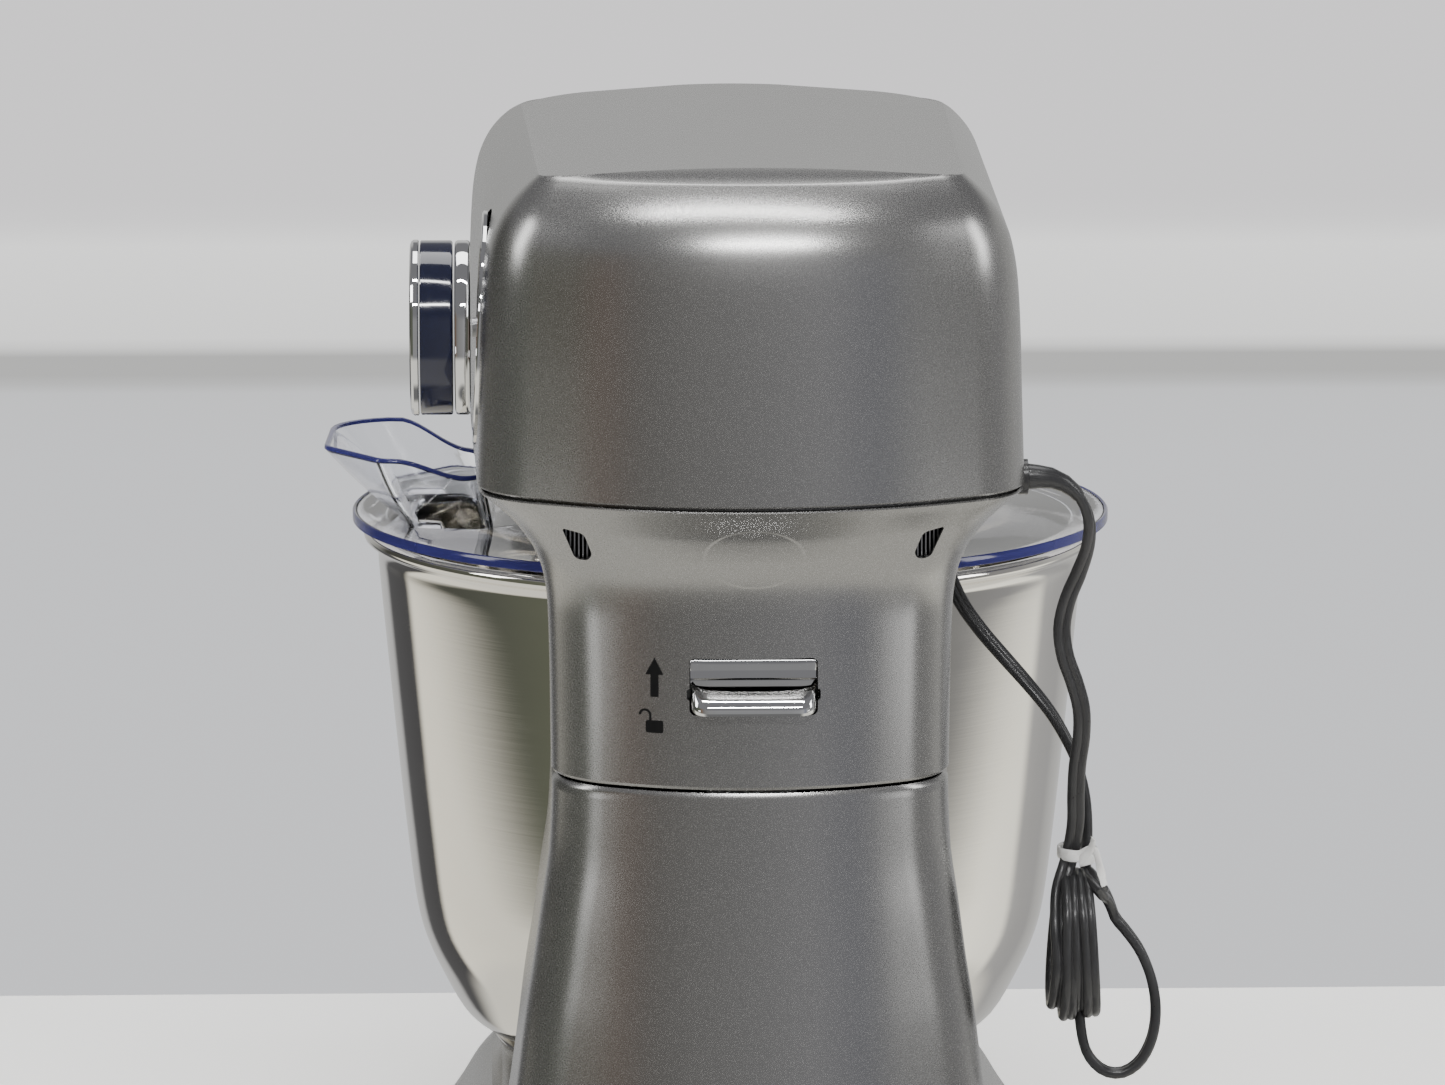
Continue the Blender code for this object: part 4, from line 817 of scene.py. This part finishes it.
def standHousing():
    rows = blendPoints([(z, half, 0) for z, half in stand["column"]], 3)
    rings = [standRing(0.1673, 0.0588, 0), standRing(0.1664, 0.0599, 0)]
    rings += [standRing(z, half, 0) for z, half, _ in rows]
    mound = blendPoints([(z, half, 0) for z, half in stand["mound"]], 2)
    rings.append([Vector((p.x, p.y, 0.0328)) for p in standRing(0.0328, 0.0791, 0.02)])
    for z, half, _ in mound:
        rings.append(standRing(z, half, 1.0))
    rings.append(standRing(stand["bottom"], stand["half"] - 0.0008, 1.0))
    piece = ringBody("standMoulding", rings, ("open", "open"))
    wall(piece, stand["wall"])
    place(piece, "stand", "paint", "paint", ["stand_housing"], 28)
    print("stand")


# ---- bowl

bowl = {
    "centre": (0, -0.067, 0), "wall": 0.0012, "rim": 0.209, "rimR": 0.1215,
    "side": ((0.0745, 0.0386), (0.0815, 0.0412), (0.0895, 0.0468), (0.0970, 0.0600), (0.1022, 0.0720), (0.1052, 0.0850),
             (0.1080, 0.1080), (0.1105, 0.1320), (0.1136, 0.1640), (0.1164, 0.1940), (0.1168, 0.2010)),
    "curl": ((0.1171, 0.2030), (0.1182, 0.2042), (0.1200, 0.2047), (0.1212, 0.2056), (0.1215, 0.2070), (0.1209, 0.2083),
             (0.1195, 0.2090), (0.1178, 0.2088), (0.1163, 0.2078), (0.1157, 0.2060)),
    "foot": ((0.0735, 0.0384), (0.0795, 0.0380), (0.0780, 0.0350), (0.0762, 0.0320), (0.0768, 0.0311), (0.0745, 0.0311),
             (0.0735, 0.0345)),
}


def steelBowl():
    outer = [tuple(p)[:2] for p in blendPoints([(r, z, 0) for r, z in bowl["side"]], 4)]
    curl = [tuple(p)[:2] for p in blendPoints([(r, z, 0) for r, z in bowl["curl"]], 2)]
    inner = [(r - bowl["wall"], z) for r, z in reversed(outer[2:])]
    inner += [(outer[0][0] - 0.003, outer[0][1] + 0.0028), (0.030, 0.0400), (0.010, 0.0400)]
    profile = [(0.010, 0.0386), (0.030, 0.0386)] + outer + curl + inner
    piece = ringBody("bowlShell", turnedRings(profile, bowl["centre"], count=144), ("pole", "pole"))
    place(piece, "bowl", "steel", "polished_steel", ["bowl"], 50)
    foot = ringBody("bowlFootRing", turnedRings(bowl["foot"], bowl["centre"], count=144), ("joined", "joined"))
    softEdges(foot, 0.0003, 2)
    place(foot, "bowl", "steel", "polished_steel", ["bowl_foot"])
    print("bowl")


# ---- splash guard

guard = {
    "centre": (0, -0.067, 0), "low": 0.2120, "high": 0.2144, "radius": 0.1250, "collar": 0.0665, "collarTop": 0.2450,
    "chuteFoot": (  # corners with their roundings
        (0.0780, -0.0980, 0.006), (0.1055, -0.0910, 0.010), (0.1070, -0.0500, 0.012), (0.1035, -0.0270, 0.006),
        (0.0780, -0.0220, 0.006),
    ),
    "chuteMouth": (
        (0.0815, -0.1080, 0.012), (0.1325, -0.1080, 0.024), (0.1343, -0.0440, 0.015), (0.1155, -0.0150, 0.006),
        (0.0815, -0.0150, 0.008),
    ),
    "chuteWall": 0.0018,
}


def roundedRing(corners, z, inset=0.0, steps=7, between=5):
    middle = sum((Vector(c[:2]) for c in corners), Vector((0, 0))) / len(corners)
    moved = []
    for x, y, r in corners:
        moved.append((x - math.copysign(inset, x - middle.x), y - math.copysign(inset, y - middle.y), max(r - inset, 0.001)))
    arcs = fillet(moved, [steps] * len(corners))
    ring = []
    for arc, nextArc in zip(arcs, arcs[1:] + arcs[:1]):
        ring += arc
        ring += [arc[-1].lerp(nextArc[0], (k + 1) / (between + 1)) for k in range(between)]
    return [Vector((p.x, p.y, z)) for p in ring]


def mouthHeight(x, y):
    # the lip is high on the outside and dips in a wave towards the head
    share = min(1.0, max(0.0, (0.1110 - x) / 0.024))
    near = min(1.0, max(0.0, (y + 0.100) / 0.075))
    return 0.2376 + 0.0005 * near - (0.0105 - 0.0045 * near) * (share * share * (3 - 2 * share))


def chuteRing(share, inset):
    foot = roundedRing(guard["chuteFoot"], guard["low"], inset)
    mouth = roundedRing(guard["chuteMouth"], 0.0, inset)
    ring = []
    for a, b in zip(foot, mouth):
        b = Vector((b.x, b.y, mouthHeight(b.x, b.y)))
        ring.append(a.lerp(b, share) + Vector((0.0012, 0, 0)) * math.sin(math.pi * share) * (a.x > 0.09))
    return ring


def splashGuard():
    top, low, r = guard["high"], guard["low"], guard["radius"]
    profile = [
        (guard["collar"] - 0.0022, low), (r - 0.0075, low), (r - 0.0066, low - 0.0006), (r - 0.0014, low - 0.0006),
        (r - 0.0010, low), (r - 0.0010, top - 0.0004), (r - 0.0014, top), (guard["collar"] + 0.0012, top),
        (guard["collar"] + 0.0003, top + 0.0004), (guard["collar"], top + 0.0014), (guard["collar"] - 0.0003, guard["collarTop"]),
        (guard["collar"] - 0.0008, guard["collarTop"] + 0.0003), (guard["collar"] - 0.0019, guard["collarTop"] + 0.0003),
        (guard["collar"] - 0.0022, guard["collarTop"] - 0.0002),
    ]
    plate = ringBody("guardPlate", turnedRings(profile, guard["centre"], count=128), ("joined", "joined"))
    hole = [[Vector((p.x, p.y, z)) for p in chuteRing(0, guard["chuteWall"] + 0.0002)] for z in (0.205, 0.222)]
    cutAway(plate, ringBody("chuteHole", hole))
    place(plate, "head", "clear", "clear_guard", ["splash_guard"], 35)
    shares = [0.0, 0.1, 0.25, 0.4, 0.55, 0.7, 0.85, 0.985]
    rings = [[p + Vector((0, 0, 0.0019)) * (s == 0) for p in chuteRing(s, 0)] for s in shares]
    rings += [chuteRing(s, guard["chuteWall"]) for s in reversed(shares)]
    chute = ringBody("chuteWall", rings, ("joined", "joined"))
    place(chute, "head", "clear", "clear_guard", smooth=40)
    edge = [(r - 0.0009, low - 0.0004), (r - 0.0003, low - 0.0007), (r + 0.0002, low - 0.0004), (r + 0.0002, top - 0.0002),
            (r - 0.0003, top + 0.0003), (r - 0.0009, top)]
    rail = ringBody("guardEdge", turnedRings(edge, guard["centre"], count=144), ("joined", "joined"))
    place(rail, "head", "edge", "clear_guard", smooth=50)
    lip = []
    for height, inset in ((0.0, 0.0), (0.0010, -0.0001), (0.0013, 0.0006), (0.0010, 0.0017), (0.0, 0.0018), (-0.0003, 0.0009)):
        lip.append([p + Vector((0, 0, height)) for p in chuteRing(0.985, inset)])
    rim = ringBody("chuteLip", lip, ("joined", "joined"))
    place(rim, "head", "edge", "clear_guard", smooth=60)
    print("splash guard")


# ---- speed knob

knob = {"centre": (0, 0.099, 0.298), "radius": 0.0267, "tilt": math.radians(2.9)}


def speedKnob():
    r = knob["radius"]
    skirt = [(0.004, 0.0843), (r - 0.0010, 0.0843), (r - 0.0003, 0.0846), (r, 0.0852), (r, 0.0882), (r - 0.0003, 0.0888),
             (r - 0.0009, 0.0891), (0.004, 0.0891)]
    band = [(0.004, 0.0897), (r - 0.0008, 0.0897), (r - 0.0002, 0.0899), (r, 0.0904), (r, 0.0993), (r - 0.0003, 0.0996),
            (0.004, 0.0996)]
    cap = [(0.004, 0.1000), (r - 0.0002, 0.1000), (r + 0.0002, 0.1003), (r + 0.0002, 0.1016), (r - 0.0003, 0.1023),
           (r - 0.0012, 0.1027), (r - 0.0024, 0.1026), (r - 0.0034, 0.1021), (r - 0.0042, 0.1012), (r - 0.0048, 0.1010),
           (r - 0.0150, 0.1006), (0.004, 0.1005)]
    for name, profile, finish, slot, node in (
        ("knobSkirt", skirt, "chrome", "chrome", "knob_skirt"),
        ("knobBand", band, "navy", "navy_gloss", "knob_band"),
        ("knobCap", cap, "chrome", "chrome", "knob_cap"),
    ):
        piece = ringBody(name, turnedRings(profile, knob["centre"], "X", 112), ("pole", "pole"))
        place(piece, "knob", finish, slot, [node], 28)
    plate = [(0.0045, -0.0028), (0.0345, -0.0028), (0.0352, -0.0024), (0.0358, -0.0016), (0.0358, -0.0006), (0.0354, -0.0002),
             (0.0347, 0.0), (0.0338, -0.0003), (0.0330, -0.0010), (0.0322, -0.0012), (0.0300, -0.0008), (0.0284, -0.0008),
             (0.0045, -0.0008)]
    turn = Matrix.Translation((0.0824, knob["centre"][1], knob["centre"][2])) @ Matrix.Rotation(-knob["tilt"], 4, "Y")
    rings = [[turn @ p for p in ring] for ring in turnedRings(plate, (0, 0, 0), "X", 128)]
    piece = ringBody("knobPlate", rings, ("joined", "joined"))
    place(piece, "head", "chrome", "chrome", ["knob_plate"], 28)
    print("knob")


# ---- release lever

lever = {
    "half": 0.0188, "rear": 0.173, "corner": 0.0052,
    "side": ((-0.0116, 0.2070), (-0.0080, 0.2079), (-0.0056, 0.2080), (-0.0052, 0.2072), (-0.0064, 0.2058), (-0.0071, 0.2036),
             (-0.0064, 0.2014), (-0.0040, 0.2004), (-0.0016, 0.1992), (0.0010, 0.1972), (0.0030, 0.1954), (0.0040, 0.1938),
             (0.0041, 0.1925), (0.0034, 0.1916), (0.0012, 0.1913), (-0.0040, 0.1914), (-0.0086, 0.1924), (-0.0122, 0.2005)),
}


def releaseLever():
    profile = [Vector((y, z, 0)) for y, z in lever["side"]]
    rings = []
    stations = [0.0, 0.0006, 0.0014, 0.0026, 0.0040, 0.0054, 0.0080, 0.0140]
    xs = [-lever["half"] + s for s in stations] + [lever["half"] - s for s in reversed(stations)]
    for number, x in enumerate(xs):
        edge = lever["half"] - abs(x)
        round_ = 1.0 if edge > lever["corner"] else math.sqrt(max(0.0, 1 - (1 - edge / lever["corner"]) ** 2))
        ring = []
        for p in profile:
            y, z = p.x, p.y
            if y > -0.0040:
                y = -0.0040 + (y + 0.0040) * (0.30 + 0.70 * round_)
            if z < 0.1945:
                z += 0.0012 * (1 - round_)
            if edge < 0.0006:
                y, z = y * 0.97 - 0.0002, 0.2 + (z - 0.2) * 0.97
            ring.append(Vector((x, lever["rear"] + y, z)))
        rings.append(ring)
    piece = ringBody("leverPaddle", rings)
    place(piece, "lever", "chrome", "chrome", ["release_lever"], 30)
    print("release lever")


# ---- printed signs; the round boss is a bump in the metallic paint

signs = {
    "arrow": ((0.0296, 0.2082), (0.0323, 0.2030), (0.0308, 0.2030), (0.0308, 0.1962), (0.0284, 0.1962), (0.0284, 0.2030),
              (0.0269, 0.2030)),
    "lockX": 0.0296, "lockZ": 0.1876,
}


def inlay(name, outline, neckPiece, proud, finish, slices=0.0018):
    # a thin sheet cut to the outline, sliced upright and laid on the neck's rear wall
    selectNone()
    bpy.ops.mesh.primitive_circle_add(vertices=len(outline), radius=1, fill_type="NGON", location=(0, 0, 0))
    piece = bpy.context.object
    piece.name = piece.data.name = name
    for vert, (x, z) in zip(piece.data.vertices, outline):
        vert.co = (x, 0.200, z)
    bpy.ops.object.mode_set(mode="EDIT")
    xs = [p[0] for p in outline]
    x = min(xs) + slices
    while x < max(xs) - 0.0003:
        bpy.ops.mesh.select_all(action="SELECT")
        bpy.ops.mesh.bisect(plane_co=(x, 0, 0), plane_no=(1, 0, 0))
        x += slices
    bpy.ops.object.mode_set(mode="OBJECT")
    wrap = piece.modifiers.new("lay", "SHRINKWRAP")
    wrap.target = neckPiece
    wrap.wrap_method = "PROJECT"
    wrap.use_project_y = True
    wrap.use_project_x = wrap.use_project_z = False
    wrap.use_negative_direction = True
    wrap.use_positive_direction = False
    applyAll(piece)
    for vert in piece.data.vertices:
        vert.co.y += proud
    useOnly(piece)
    bpy.ops.object.mode_set(mode="EDIT")
    bpy.ops.mesh.select_all(action="SELECT")
    bpy.ops.mesh.extrude_region_move(TRANSFORM_OT_translate={"value": (0, -proud - 0.0002, 0)})
    bpy.ops.mesh.select_all(action="SELECT")
    bpy.ops.mesh.normals_make_consistent(inside=False)
    bpy.ops.object.mode_set(mode="OBJECT")
    return piece


def roundOutline(low, high, radius, steps=4):
    corners = [(low[0], low[1], radius), (high[0], low[1], radius), (high[0], high[1], radius), (low[0], high[1], radius)]
    return [tuple(p) for arc in fillet(corners, [steps] * 4) for p in arc]


def neckSigns(neckPiece):
    x, z = signs["lockX"], signs["lockZ"]
    arrow = inlay("openArrow", signs["arrow"], neckPiece, 0.00007, "ink")
    place(arrow, "head", "ink", "black_plastic")
    lock = inlay("openLockBody", roundOutline((x - 0.0026, z - 0.0024), (x + 0.0026, z + 0.0014), 0.0006), neckPiece, 0.00007, "ink")
    place(lock, "head", "ink", "black_plastic")
    arc = []
    for radius, direction in ((0.0019, 1), (0.0012, -1)):
        turns = [math.pi * k / 10 for k in range(11)][::direction]
        top = [(x + 0.0028 + radius * math.cos(t), z + 0.0030 + radius * math.sin(t)) for t in turns]
        if direction == 1:
            arc += top
        else:
            arc += [(x + 0.0028 - 0.0019, z + 0.0014)] + [(x + 0.0028 - 0.0012, z + 0.0014)] + top
    shackle = inlay("openLockShackle", arc, neckPiece, 0.00007, "ink", 0.0012)
    place(shackle, "head", "ink", "black_plastic")
    print("signs")


# ---- cord

cord = {
    "width": 0.0056, "apart": 0.0012, "strand": 0.0016, "spacing": 0.0025, "limit": 0.0125,
    "exit": (-0.0877, 0.1310, 0.2562),
    "lead": (
        (-0.0877, 0.1310, 0.2562), (-0.0935, 0.1306, 0.2552), (-0.0995, 0.1288, 0.2505), (-0.1032, 0.1267, 0.2430),
        (-0.1035, 0.1246, 0.2345), (-0.1010, 0.1226, 0.2255), (-0.0976, 0.1211, 0.2165), (-0.0960, 0.1199, 0.2075),
        (-0.0972, 0.1184, 0.1985), (-0.1002, 0.1165, 0.1900), (-0.1026, 0.1144, 0.1812), (-0.1029, 0.1124, 0.1720),
        (-0.1019, 0.1103, 0.1625), (-0.1017, 0.1080, 0.1530), (-0.1019, 0.1058, 0.1440), (-0.1010, 0.1040, 0.1360),
        (-0.0996, 0.1035, 0.1298),
    ),
    "hank": {"middle": 0.1010, "half": 0.0176, "low": 0.0830, "high": 0.1262, "turns": 4, "x": (-0.0962, -0.1092),
             "dip": (0.0022, -0.0016, 0.0012, -0.0006)},
    "loop": (
        (-0.1149, 0.1010, 0.1122), (-0.1185, 0.1012, 0.1078), (-0.1228, 0.1014, 0.1015), (-0.1262, 0.1015, 0.0930),
        (-0.1277, 0.1015, 0.0838), (-0.1268, 0.1015, 0.0745), (-0.1232, 0.1015, 0.0668), (-0.1176, 0.1014, 0.0628),
        (-0.1115, 0.1013, 0.0636), (-0.1065, 0.1012, 0.0690), (-0.1044, 0.1010, 0.0775),
    ),
    "rise": ((-0.1040, 0.0995, 0.0870), (-0.1045, 0.0975, 0.1000), (-0.1052, 0.0965, 0.1150)),
    "tail": (
        (-0.1060, 0.0960, 0.1298), (-0.1063, 0.0958, 0.1400), (-0.1055, 0.0960, 0.1500), (-0.1032, 0.0962, 0.1595),
        (-0.0995, 0.0955, 0.1680), (-0.0945, 0.0930, 0.1762), (-0.0880, 0.0890, 0.1840), (-0.0810, 0.0840, 0.1915),
        (-0.0745, 0.0785, 0.1985), (-0.0690, 0.0720, 0.2055), (-0.0655, 0.0645, 0.2120), (-0.0640, 0.0560, 0.2170),
        (-0.0640, 0.0470, 0.2198), (-0.0620, 0.0385, 0.2212), (-0.0565, 0.0318, 0.2232), (-0.0498, 0.0300, 0.2240),
    ),
}


def hankTurns():
    # down one side, round the bottom, up the other side and over, moving across at each turn
    h = cord["hank"]
    y, r = h["middle"], h["half"]
    straight = (h["high"] - h["low"]) / 2 - r
    mid = (h["high"] + h["low"]) / 2
    x0, x1 = h["x"]
    points = [(x0 - 0.0008, 0.1080, 0.1225), (x0, 0.1150, 0.1145)]
    stops = []
    for k in range(7):
        a = math.pi * k / 6
        stops.append((y + r * math.cos(a), mid - straight - r * math.sin(a)))
    for k in range(7):
        a = math.pi * k / 6
        stops.append((y - r * math.cos(a), mid + straight + r * math.sin(a)))
    total = h["turns"] * len(stops)
    number = 0
    for turn in range(h["turns"]):
        for py, pz in stops:
            share = number / (total - 1)
            fall = (h["high"] - pz) / (h["high"] - h["low"])
            fan = (share - 0.45) * (0.62 + 0.52 * fall) + 0.45
            points.append((x0 + (x1 - x0) * fan, py, pz + h["dip"][turn] * fall))
            number += 1
    points = points[:-3]
    points += [(-0.1092, 0.1120, 0.1236), (-0.1112, 0.1058, 0.1208), (-0.1132, 0.1024, 0.1166)]
    return points


def evenPath(points, spacing):
    dense = blendPoints(points, 12)
    path, gone = [dense[0]], 0.0
    for a, b in zip(dense, dense[1:]):
        step = (b - a).length
        while gone + step >= spacing:
            a = a.lerp(b, (spacing - gone) / step)
            path.append(a.copy())
            step = (b - a).length
            gone = 0.0
        gone += step
    if (path[-1] - dense[-1]).length > spacing * 0.4:
        path.append(dense[-1])
    return path


def pathLength(path):
    return sum((b - a).length for a, b in zip(path, path[1:]))


def twinSection(steps=9):
    # outline of two strands side by side, (across, through)
    half, r = cord["apart"], cord["strand"]
    reach = math.acos(-half / r)
    points = []
    for side in (1, -1):
        for k in range(steps + 1):
            a = -reach + 2 * reach * k / steps
            points.append((side * (half + r * math.cos(a)), side * r * math.sin(a)))
        points.pop()
    return points


def cordTube():
    leadPoints = list(cord["lead"])
    points = leadPoints + hankTurns() + list(cord["loop"]) + list(cord["rise"]) + list(cord["tail"])
    path = evenPath(points, cord["spacing"])
    section = twinSection()
    count = len(path)
    verts, faces = [], []
    wide = Vector((0, 1, 0))
    leadEnd = pathLength(blendPoints(leadPoints, 12))
    hankEnd = leadEnd + pathLength(blendPoints(hankTurns(), 12))
    tailStart = count * cord["spacing"] - pathLength(blendPoints(cord["tail"], 12))
    for i, here in enumerate(path):
        along = (path[min(i + 1, count - 1)] - path[max(i - 1, 0)]).normalized()
        share = i * cord["spacing"]
        turn = min(1.0, max(0.0, (share - 0.008) / 0.035)) * min(1.0, max(0.0, (hankEnd - 0.005 - share) / 0.03))
        end = min(1.0, max(0.0, (share - tailStart - 0.02) / 0.04))
        aim = Vector((0, 1, 0)).lerp(Vector((1, 0.25, 0)), max(turn, end * 0.6))
        target = (aim - along * aim.dot(along))
        if target.length > 0.3:
            target.normalize()
            if target.dot(wide) < 0:
                target.negate()
            wide = wide.lerp(target, 0.25)
        wide = (wide - along * wide.dot(along)).normalized()
        thin = along.cross(wide)
        for across, through in section:
            verts.append(here + wide * across + thin * through)
    ring = len(section)
    for i in range(count - 1):
        for k in range(ring):
            a, b = i * ring + k, i * ring + (k + 1) % ring
            faces.append((a, b, b + ring, a + ring))
    faces.append(tuple(range(ring))[::-1])
    faces.append(tuple(range((count - 1) * ring, count * ring)))
    mesh = bpy.data.meshes.new("mainsCord")
    mesh.from_pydata([tuple(v) for v in verts], [], faces)
    piece = bpy.data.objects.new("mainsCord", mesh)
    bpy.context.scene.collection.objects.link(piece)
    useOnly(piece)
    bpy.ops.object.mode_set(mode="EDIT")
    bpy.ops.mesh.select_all(action="SELECT")
    bpy.ops.mesh.normals_make_consistent(inside=False)
    bpy.ops.object.mode_set(mode="OBJECT")
    place(piece, "head", "cord", "cord_pvc", ["cord_lead", "cord_hank", "cord_loop", "cord_tail"], 40)
    length = pathLength(path)
    print(f"cord {length:.3f} m")
    return piece, path, length


def reliefSleeve(path):
    # tapered boot over the cord's first stretch, with its collar inside the wall
    stations = (
        (-0.0110, 0.0050, 0.0050), (-0.0080, 0.0050, 0.0050), (-0.0078, 0.0054, 0.0054), (-0.0034, 0.0054, 0.0054),
        (-0.0032, 0.0044, 0.0040), (0.0, 0.0041, 0.0036), (0.0040, 0.0038, 0.0032), (0.0085, 0.0035, 0.0027),
        (0.0125, 0.0032, 0.0023), (0.0150, 0.0030, 0.0020),
    )
    start = Vector(cord["exit"])
    rings = []
    for inner in (False, True):
        for at, wide, tall in (reversed(stations) if inner else stations):
            if at <= 0:
                centre, along = start + Vector((-1, 0, 0)) * at, Vector((-1, 0, 0))
            else:
                i = min(len(path) - 2, int(at / cord["spacing"]))
                centre = path[i].lerp(path[i + 1], at / cord["spacing"] - i)
                along = (path[i + 1] - path[max(0, i - 1)]).normalized()
            across = Vector((0, 1, 0))
            up = along.cross(across).normalized()
            size = (0.00285, 0.0018) if inner else (wide, tall)
            rings.append([centre + across * size[0] * math.cos(2 * math.pi * k / 40)
                          + up * size[1] * math.sin(2 * math.pi * k / 40) for k in range(40)])
    piece = ringBody("cordBoot", rings, ("joined", "joined"))
    place(piece, "head", "cord", "cord_pvc", ["cord_gland"], 40)
    return piece


def cordTie():
    # twisted wire tie: two turns round lead and tail, ends standing out
    middle = Vector((-0.1030, 0.0998, 0.1328))
    points = [middle + Vector((-0.0040, 0.0125, 0.0070)), middle + Vector((-0.0030, 0.0112, 0.0030))]
    for k in range(29):
        a = 2 * math.pi * k / 14 + math.pi / 2
        points.append(middle + Vector((0.0060 * math.cos(a), 0.0086 * math.sin(a), -0.0012 + 0.0024 * k / 28)))
    points += [middle + Vector((-0.0042, 0.0112, 0.0032)), middle + Vector((-0.0062, 0.0128, -0.0030)),
               middle + Vector((-0.0075, 0.0122, -0.0080))]
    path = evenPath([tuple(p) for p in points], 0.0009)
    rings = []
    for i, here in enumerate(path):
        along = (path[min(i + 1, len(path) - 1)] - path[max(i - 1, 0)]).normalized()
        across = Vector((0, 0, 1)) - along * along.z
        across = across.normalized() if across.length > 0.1 else Vector((1, 0, 0))
        out = along.cross(across)
        rings.append([here + across * 0.0013 * math.cos(2 * math.pi * k / 10) + out * 0.0004 * math.sin(2 * math.pi * k / 10)
                      for k in range(10)])
    piece = ringBody("cordTwistTie", rings)
    place(piece, "head", "tie", "tie", ["cord_tie"], 40)
    return piece


plug = {
    "y": 0.0300, "z": 0.2240,
    "stations": ((-0.0490, 0.0034, 0.0032), (-0.0470, 0.0040, 0.0038), (-0.0440, 0.0054, 0.0050), (-0.0415, 0.0086, 0.0066),
                 (-0.0390, 0.0108, 0.0076), (-0.0360, 0.0106, 0.0072), (-0.0330, 0.0112, 0.0078), (-0.0300, 0.0108, 0.0074),
                 (-0.0270, 0.0115, 0.0080), (-0.0220, 0.0120, 0.0080), (-0.0190, 0.0119, 0.0079), (-0.0181, 0.0113, 0.0074)),
}


def plugBody():
    rows = blendPoints([(x, a, b) for x, a, b in plug["stations"]], 3)
    rings = []
    for x, wide, tall in rows:
        ring = []
        for k in range(48):
            a = 2 * math.pi * k / 48
            c, s = math.cos(a), math.sin(a)
            ring.append(Vector((x, plug["y"] + wide * math.copysign(abs(c) ** 0.62, c), plug["z"] + tall * math.copysign(abs(s) ** 0.62, s))))
        rings.append(ring)
    piece = ringBody("plugShell", rings)
    place(piece, "head", "cord", "cord_pvc", ["plug_body"], 40)
    return piece


def addCord():
    piece, path, length = cordTube()
    boot = reliefSleeve(path)
    tie = cordTie()
    shell = plugBody()
    pins = [nodes["plug_pin_1"], nodes["plug_pin_2"]]
    [shell, boot, tie] + pins
    print("cord")


# ---- parts that keep their solid, with softened edges

def softened(node, name, bodyName, finish, slot, width, segments=2, angle=38):
    source = nodes[node]
    piece = source.copy()
    piece.data = source.data.copy()
    piece.name = piece.data.name = name
    bpy.context.scene.collection.objects.link(piece)
    for key in list(piece.keys()):
        del piece[key]
    useOnly(piece)
    bpy.ops.object.mode_set(mode="EDIT")
    bpy.ops.mesh.select_all(action="SELECT")
    bpy.ops.mesh.remove_doubles(threshold=0.00002)
    bpy.ops.mesh.dissolve_limited(angle_limit=math.radians(1.0))
    bpy.ops.object.mode_set(mode="OBJECT")
    softEdges(piece, width, segments, angle)
    place(piece, bodyName, finish, slot, [node], 40)
    return piece


nodeFinishes = {
    "black": ("base_cover", "speed_switch", "carbon_brush_upper", "carbon_brush_lower"),
    "brushed": ("base_screw_1", "base_screw_2", "base_screw_3", "base_screw_4", "hinge_pin", "lever_pin", "lever_spring",
                "latch_bar", "motor_stator", "motor_bearing_front", "motor_bearing_rear", "drive_bearing", "worm",
                "planet_gear", "beater_shaft", "knob_shaft", "plug_pin_1", "plug_pin_2"),
    "rubber": ("foot_front_left", "foot_front_right", "foot_rear_left", "foot_rear_right"),
    "cast": ("bowl_seat", "hinge_bracket", "chassis", "ring_gear", "planet_carrier", "flat_beater"),
    "copper": ("armature", "field_coil_front", "field_coil_rear"),
    "nylon": ("worm_wheel", "cooling_fan"),
    "board": ("control_board",),
}


def finishNodes():
    for finish, names in nodeFinishes.items():
        for name in names:
            piece = nodes[name]
            piece.data.materials.clear()
            piece.data.materials.append(finishes[finish])
    print("inner parts finished")


addCord()
headCover()
neckPiece = neckShell()
ventRibs(neckPiece)
standHousing()
steelBowl()
splashGuard()
speedKnob()
releaseLever()
neckSigns(neckPiece)
softened("flat_beater", "beaterPaddle", "beater", "cast", "cast_aluminium", 0.0011, 3)
finishNodes()
